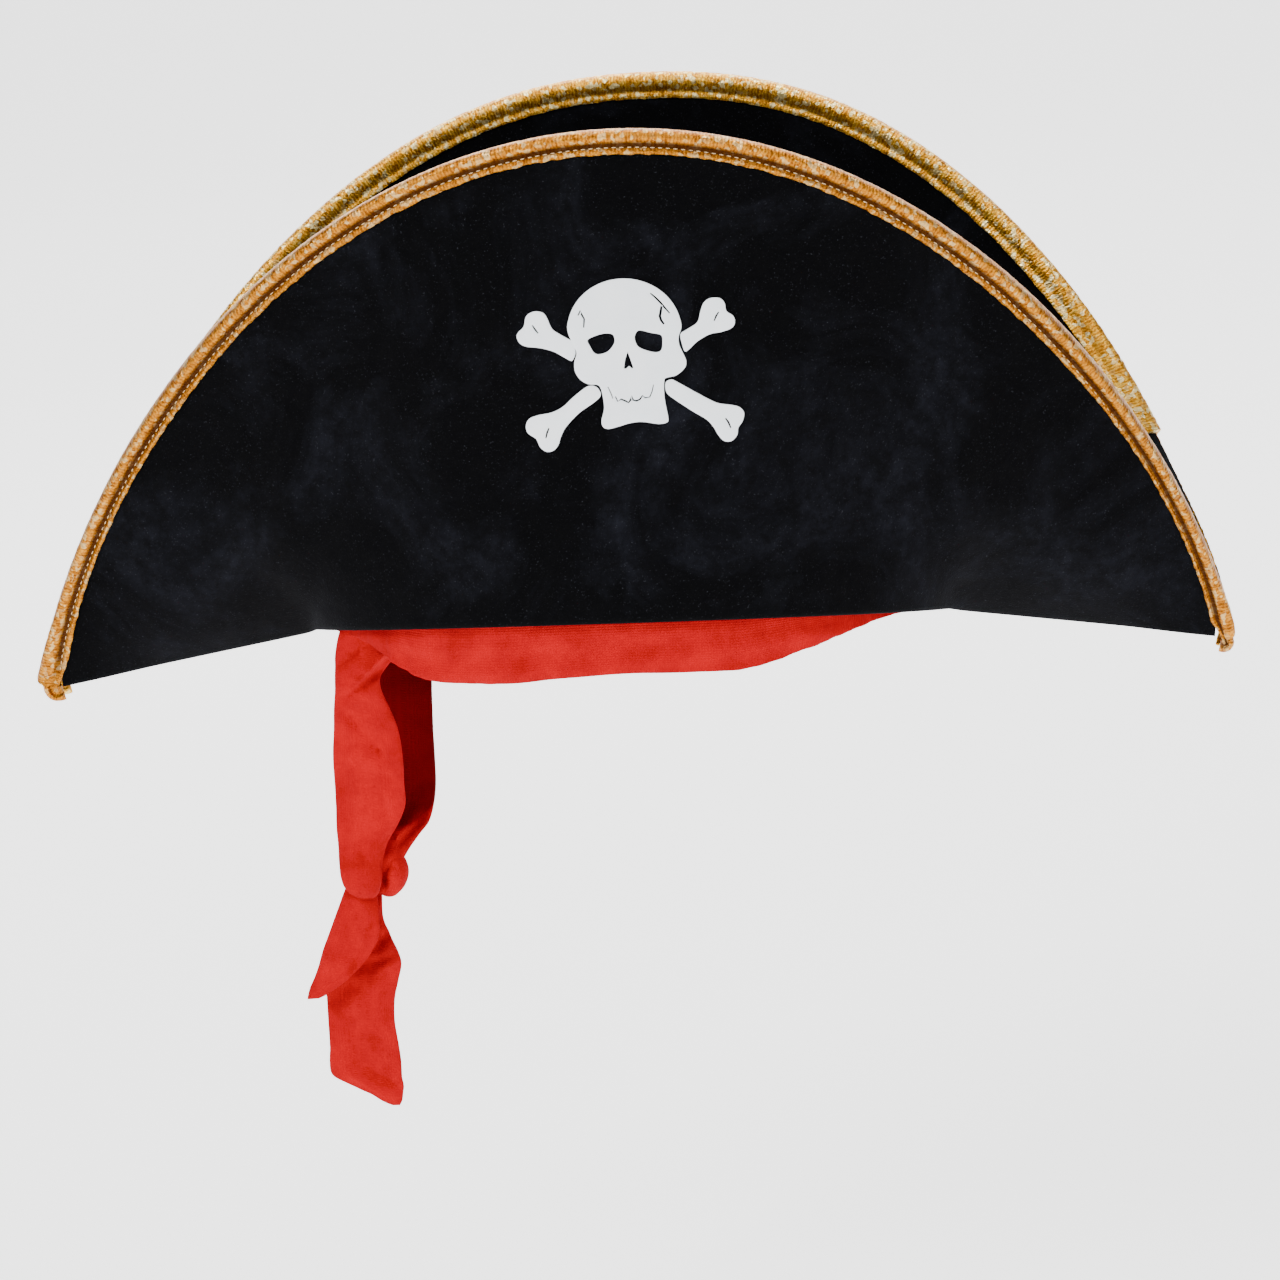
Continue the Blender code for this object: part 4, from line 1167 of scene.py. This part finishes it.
ink_piece("skull_ink", [rounded(SKULL, 4), rounded(LEFT_EYE), rounded(RIGHT_EYE), NOSE, scratch(MOUTH, 0.98),
                        *[scratch(line, 1.0) for line in CRACKS]], "skull_print")
for name, (outline, line) in BONES.items():
    ink_piece(f"bone_ink_{name}", [rounded(outline, 4), scratch(line, 0.95)], f"bone_print_{name}")

# %% [markdown]
# ## The sash round the head
#
# The sash is one long strip, folded so that both raw edges are inside. Round the head only its lower
# part shows below the rim: deepest at the front left, shallower behind and almost nothing at the
# sides. A folded strip is a flat tube, so the band is a closed section carried round the oval.

# %% Sash band
FRONT_HEM = [(-117, -19.5), (-108, -14), (-100, -13.5), (-94, -15.5), (-89, -18), (-84, -20.5), (-78, -23.5),
             (-72, -25.5), (-60, -26), (-40, -25), (-18, -22.5), (4, -21.5), (20, -22), (33, -22.5),
             (45, -22.5), (54, -21), (62, -19), (72, -16.5), (86, -12.5), (98, -11), (108, -12.5),
             (117, -17.5)]
BAND_OVAL = (118.0 * MM, 80.3 * MM)
BAND_STRIP = 2.4 * MM


def band_hem(x, in_front):
    top = crease_height(x)
    strip = BAND_STRIP - 1.8 * MM * ease(abs(x), 0.104, 0.111)
    if in_front:
        return min(top - strip, through(FRONT_HEM, x / MM) * MM)
    share = ease(x, -0.092, -0.074) * (1 - ease(x, 0.050, 0.100))
    return min(top - strip, -16 * MM * share)


def band_place(s, t):
    angle, around = 2 * math.pi * s + math.pi / 2, 2 * math.pi * t
    x, facing = 116 * MM * math.cos(angle), math.sin(angle)
    tucked = 1.8 * MM * ease(abs(x), 0.106, 0.113)
    low = band_hem(x, facing < 0) + tucked
    high = crease_height(x) + tucked + 3.0 * MM * ease(abs(facing), 0.15, 0.5)
    up = 0.5 - 0.5 * math.cos(around)
    round_end = min(1.0, abs(math.sin(around)) * 2.6) ** 0.6
    outer = 1 if math.sin(around) > 0 else -1
    z = low + (high - low) * up
    below = max(0.0, -z) / (26 * MM)
    shown = ease(abs(facing), 0.3, 0.7)
    pleats = 0.55 * math.sin((z / MM) * 0.62 + 3.2 * math.sin(2 * angle) + 0.9 * wobble(x, 0, z, 0.02, 3))
    slack = pleats + 1.2 * wobble(x, facing, z, 0.024, 8)
    drape = slack * shown * ease(-z, 1 * MM, 8 * MM) * min(1.0, below * 2)
    offset = (outer * 0.95 * round_end + drape) * MM - 1.1 * MM * (1 - shown)
    wide, deep = BAND_OVAL[0] + offset, BAND_OVAL[1] - 0.5 * MM * below + offset
    return Vector((wide * math.cos(angle), deep * math.sin(angle), z))


def finish_sash(piece, node, body):
    merge_and_face_out(piece, 0.00003)
    smooth(piece, 75)
    piece.data.materials.append(JERSEY)
    if body:
        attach(piece, body)
    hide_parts(node)
    print(piece.name, "has", len(piece.data.polygons), "faces")
    return piece


band = lay_cloth("sash_band_cloth", 420, 36, band_place, (0.62, 0.05))
finish_sash(band, "sash_band", "hat")

# %% [markdown]
# ## Hanging lengths
#
# A hanging length is the same flat tube, described by rows: the height, the left edge and the right
# edge of the cloth. `hanging` carries a rounded flat section down those rows and closes it at both
# ends. Creases are drawn lines; each pushes the front of the cloth in or out.

# %% Tool for hanging lengths
def hanging(name, rows, depth, half_ply, creases, size, across, along):
    """rows of (height, left, right), depth as (height, y) points, all in millimetres."""
    by_height = sorted(rows)
    lefts = [(z, left) for z, left, right in by_height]
    rights = [(z, right) for z, left, right in by_height]
    depths = sorted(depth)
    plies = sorted(half_ply)
    lowest, highest = by_height[0][0], by_height[-1][0]

    def place(s, t):
        z = highest + (lowest - highest) * t
        end = min(1.0, math.sqrt(max(0.0, 1 - (1 - min(1.0, min(t, 1 - t) * along / 2.5)) ** 2)))
        left, right = through(lefts, z), through(rights, z)
        middle, half = (left + right) / 2, (right - left) / 2
        angle = 2 * math.pi * s
        c, d = math.cos(angle), math.sin(angle)
        flat_c = math.copysign(abs(c) ** 0.55, c)
        thick = through(plies, z) * math.copysign(abs(d) ** 0.75, d) * end
        x = middle + half * flat_c * (0.96 + 0.04 * end)
        fold = 1.35 * sum(crease(x * MM, z * MM, *line) for line in creases) / MM
        soft = 0.75 * wobble(x, 0, z, 9, 2) + 0.35 * wobble(x, 0, z, 3.5, 5)
        y = through(depths, z) + thick + (fold + soft) * (1 - 0.3 * abs(flat_c) ** 6)
        return Vector((x, y, z)) * MM
    return lay_cloth(name, across, along, place, size)


# %% [markdown]
# The front strand comes out from under the rim where the band turns a corner. The cloth is mitred
# there, so slanting folds fan out from the inner corner. It hangs down, narrows, wraps forward round
# the knot and ends in a rounded lip under it. The other strand comes down behind, shows its wrong
# side, darkened above a slanting fold by painted shade, and runs slantwise into the knot.

# %% Front and back strands
FRONT_STRAND = [(-7, -107, -83), (-13, -109.5, -83.5), (-21, -111.5, -87), (-26, -112, -91.5),
                (-31, -112.5, -95), (-36.5, -113, -95), (-43, -114, -93), (-52, -115, -90.5),
                (-64, -116.5, -89.5), (-76, -117, -90), (-86, -117.5, -90.5), (-94, -118, -94),
                (-101.5, -118, -98.5), (-109, -118, -101), (-115, -117.5, -101.5), (-119.5, -116, -102.5),
                (-123, -113, -104), (-125, -110, -106)]
FRONT_DEPTH = [(-7, -36.5), (-30, -32.5), (-60, -24), (-90, -15.6), (-104, -13.6), (-114, -14.4),
               (-121, -13.2),
               (-125, -10)]
FRONT_PLY = [(-7, 1.5), (-40, 1.5), (-90, 2.0), (-106, 2.9), (-116, 4.0), (-122, 3.6), (-125, 2.4)]
FRONT_CREASES = [((-111, -27), (-88, -11), 1.6, 1.5), ((-108, -36), (-89, -18), 1.4, -1.6),
                 ((-111, -41), (-93, -27), 1.5, 1.4), ((-104, -31), (-86, -16), 1.2, -1.2),
                 ((-109, -46), (-97, -66), 2.0, 1.9), ((-104, -58), (-96, -88), 1.8, -1.2),
                 ((-101, -60), (-99, -92), 1.5, 1.3), ((-114, -60), (-112, -98), 2.4, 0.8),
                 ((-106, -82), (-110, -116), 1.8, 0.9), ((-98, -94), (-108, -112), 1.6, -0.9)]
BACK_STRAND = [(-9, -104, -80), (-20, -106, -80.5), (-42, -107.5, -81), (-62, -107, -81), (-74, -107, -80.5),
               (-84, -107, -80.5), (-91, -107.5, -81.5), (-97, -108, -83.5), (-101, -108.5, -87),
               (-106, -108.5, -91), (-110.5, -108, -94), (-115, -107.5, -97.5)]
BACK_DEPTH = [(-9, 26), (-42, 16.4), (-74, 6.6), (-90, 1.6), (-100, -3.4), (-108, -7.2), (-115, -8.6)]
BACK_PLY = [(-9, 1.3), (-80, 1.5), (-96, 2.4), (-108, 3.2), (-115, 3.0)]
BACK_CREASES = [((-88, -92), (-104, -112), 2.0, -1.6), ((-84, -93), (-98, -106), 1.5, 1.4),
                ((-92, -88), (-103, -101), 1.6, 1.0), ((-95, -20), (-92, -80), 3.0, 0.6)]

front_strand = hanging("sash_front_strand_cloth", FRONT_STRAND, FRONT_DEPTH, FRONT_PLY, FRONT_CREASES,
                       (0.06, 0.13), 56, 190)
finish_sash(front_strand, "sash_front_strand", None)
back_strand = hanging("sash_back_strand_cloth", BACK_STRAND, BACK_DEPTH, BACK_PLY, BACK_CREASES,
                      STRAND_CUT, 50, 160)
finish_sash(back_strand, "sash_back_strand", None)
# The strand behind gets the copy of the jersey with painted shade.
back_strand.data.materials[0] = JERSEY_PAINTED_SHADE
for strand, y in ((front_strand, -0.034), (back_strand, 0.024)):
    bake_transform(strand)

# %% [markdown]
# ## Knot and tails
#
# The knot is where both strands cross and pull tight. What shows beside the wrapped front strand is a
# plump loop at the right and the hidden core. Each is a squashed sphere, pushed into shape; a voxel
# remesh melts them into one lump of cloth and a little smoothing takes away the seams between them.

# %% Knot
def lobe(centre, radii, tilt=0.0, bend=0.0):
    """A rounded lump of cloth in millimetres, tilted in the picture plane and slightly bent."""
    bpy.ops.object.select_all(action="DESELECT")
    bpy.ops.mesh.primitive_uv_sphere_add(segments=40, ring_count=24, radius=1)
    lump = bpy.context.object
    c, s = math.cos(math.radians(tilt)), math.sin(math.radians(tilt))
    for vertex in lump.data.vertices:
        x, y, z = (vertex.co[k] * radii[k] for k in range(3))
        x += bend * (1 - vertex.co.z ** 2)
        ridge = 0.35 * math.sin(4 * math.atan2(y, x) + z * 0.5)
        x, y = x * (1 + 0.03 * ridge), y * (1 + 0.08 * ridge)
        vertex.co = Vector((centre[0] + c * x + s * z, centre[1] + y, centre[2] - s * x + c * z)) * MM
    return lump


def join(pieces, name):
    bpy.ops.object.select_all(action="DESELECT")
    for piece in pieces:
        piece.select_set(True)
    bpy.context.view_layer.objects.active = pieces[0]
    bpy.ops.object.join()
    whole = bpy.context.object
    whole.name = whole.data.name = name
    return whole


knot = join([lobe((-98.0, -7.4, -115.8), (4.9, 6.4, 9.0), 12, 1.2), lobe((-106.5, -5.5, -115.5),
             (9.5, 6.4, 8.6)),
             lobe((-100.6, -6.2, -121.0), (5.2, 5.6, 4.2), 30), lobe((-109.5, -1.5, -110),
             (6.5, 4.2, 9.5), 12)],
            "sash_knot_cloth")
apply_modifier(knot, "REMESH", mode="VOXEL", voxel_size=0.6 * MM)
apply_modifier(knot, "SMOOTH", factor=0.6, iterations=5)
for vertex in knot.data.vertices:
    x, y, z = vertex.co
    groove = crease(x, z, (-102.6, -111.5), (-100.6, -119.5), 1.3, 1.9) * (y < -0.004)
    groove += crease(x, z, (-101.5, -112.0), (-95.5, -111.5), 1.1, 0.9) * (y < -0.004)
    vertex.co.y += groove + 0.3 * MM * wobble(x, y, z, 0.005, 2)
if not knot.data.uv_layers:
    knot.data.uv_layers.new(name="UVMap")
for loop in knot.data.loops:
    point = knot.data.vertices[loop.vertex_index].co
    knot.data.uv_layers.active.data[loop.index].uv = (point.x + point.y, point.z)
finish_sash(knot, "sash_knot", "tied_sash")

# %% [markdown]
# Two tails come out under the knot. The short one hangs in front and ends in a slanting cut; the long
# one behind it spreads, folds over itself once and also ends on a slant. Each is joined to the knot
# by its first centimetre.

# %% Tails
SHORT_TAIL = [(-117, -115, -106), (-121, -117, -105), (-127, -119.5, -104), (-133, -122, -104),
              (-139, -124.5, -104.5), (-145, -127, -107), (-151, -129, -111.5), (-156, -131, -116.5),
              (-160, -133, -121.5), (-163, -134, -126), (-165, -134.5, -130)]
SHORT_DEPTH = [(-117, -8), (-123, -10.2), (-133, -11.2), (-165.2, -11)]
SHORT_PLY = [(-117, 2.2), (-130, 1.5), (-165, 1.0)]
SHORT_CREASES = [((-112, -124), (-119, -150), 1.5, 1.5), ((-108, -126), (-111, -144), 1.2, -1.3),
                 ((-116, -124), (-127, -154), 1.4, -0.9), ((-106, -132), (-118, -156), 1.3, 1.2)]
LONG_TAIL = [(-117, -111, -103.5), (-122, -112.5, -103.5), (-128, -114.5, -103.5), (-135, -117.5, -103.5),
             (-141.5, -121, -101.5), (-149, -124.5, -98.5), (-154, -126.5, -97.5), (-160.5, -128, -99),
             (-168.5, -128, -101), (-177.5, -128, -101.5), (-187.5, -128, -100.5), (-194, -128.5, -100),
             (-198.5, -128, -100), (-201, -125.5, -100), (-204.5, -119, -99.5), (-207.5, -113, -100),
             (-210.5, -108.5, -100.5), (-212.5, -104.5, -101.5)]
LONG_DEPTH = [(-117, -2.5), (-212.6, -3)]
LONG_PLY = [(-117, 2.0), (-135, 1.4), (-165, 1.1), (-212.6, 1.0)]
LONG_CREASES = [((-103, -128), (-124, -158), 2.0, -1.6), ((-101.5, -140), (-121, -166), 1.8, 1.8),
                ((-99, -150), (-122, -158), 1.8, 1.2), ((-117, -178), (-117, -198), 3.2, 2.4),
                ((-120, -194), (-101, -206), 1.5, 1.7), ((-121, -199), (-105, -209), 1.4, -0.6),
                ((-106, -160), (-105, -186), 2.6, -0.9), ((-110, -166), (-120, -180), 2.0, -0.8)]

short_tail = hanging("sash_short_tail_cloth", SHORT_TAIL, SHORT_DEPTH, SHORT_PLY, SHORT_CREASES,
                     (0.05, 0.05), 40, 90)
finish_sash(short_tail, "sash_short_tail", None)
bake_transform(short_tail)
long_tail = hanging("sash_long_tail_cloth", LONG_TAIL, LONG_DEPTH, LONG_PLY, LONG_CREASES,
                    (0.05, 0.10), 48, 150)
finish_sash(long_tail, "sash_long_tail", None)
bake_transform(long_tail)

# %% [markdown]
# ## The frame's size
#
# The box of the frame is printed. The look may stand only a few millimetres outside the frame it was
# built on.

# %% Print the frame's box
print("frame box:", [[round(c, 4) for c in corner] for corner in CAD_BOX])
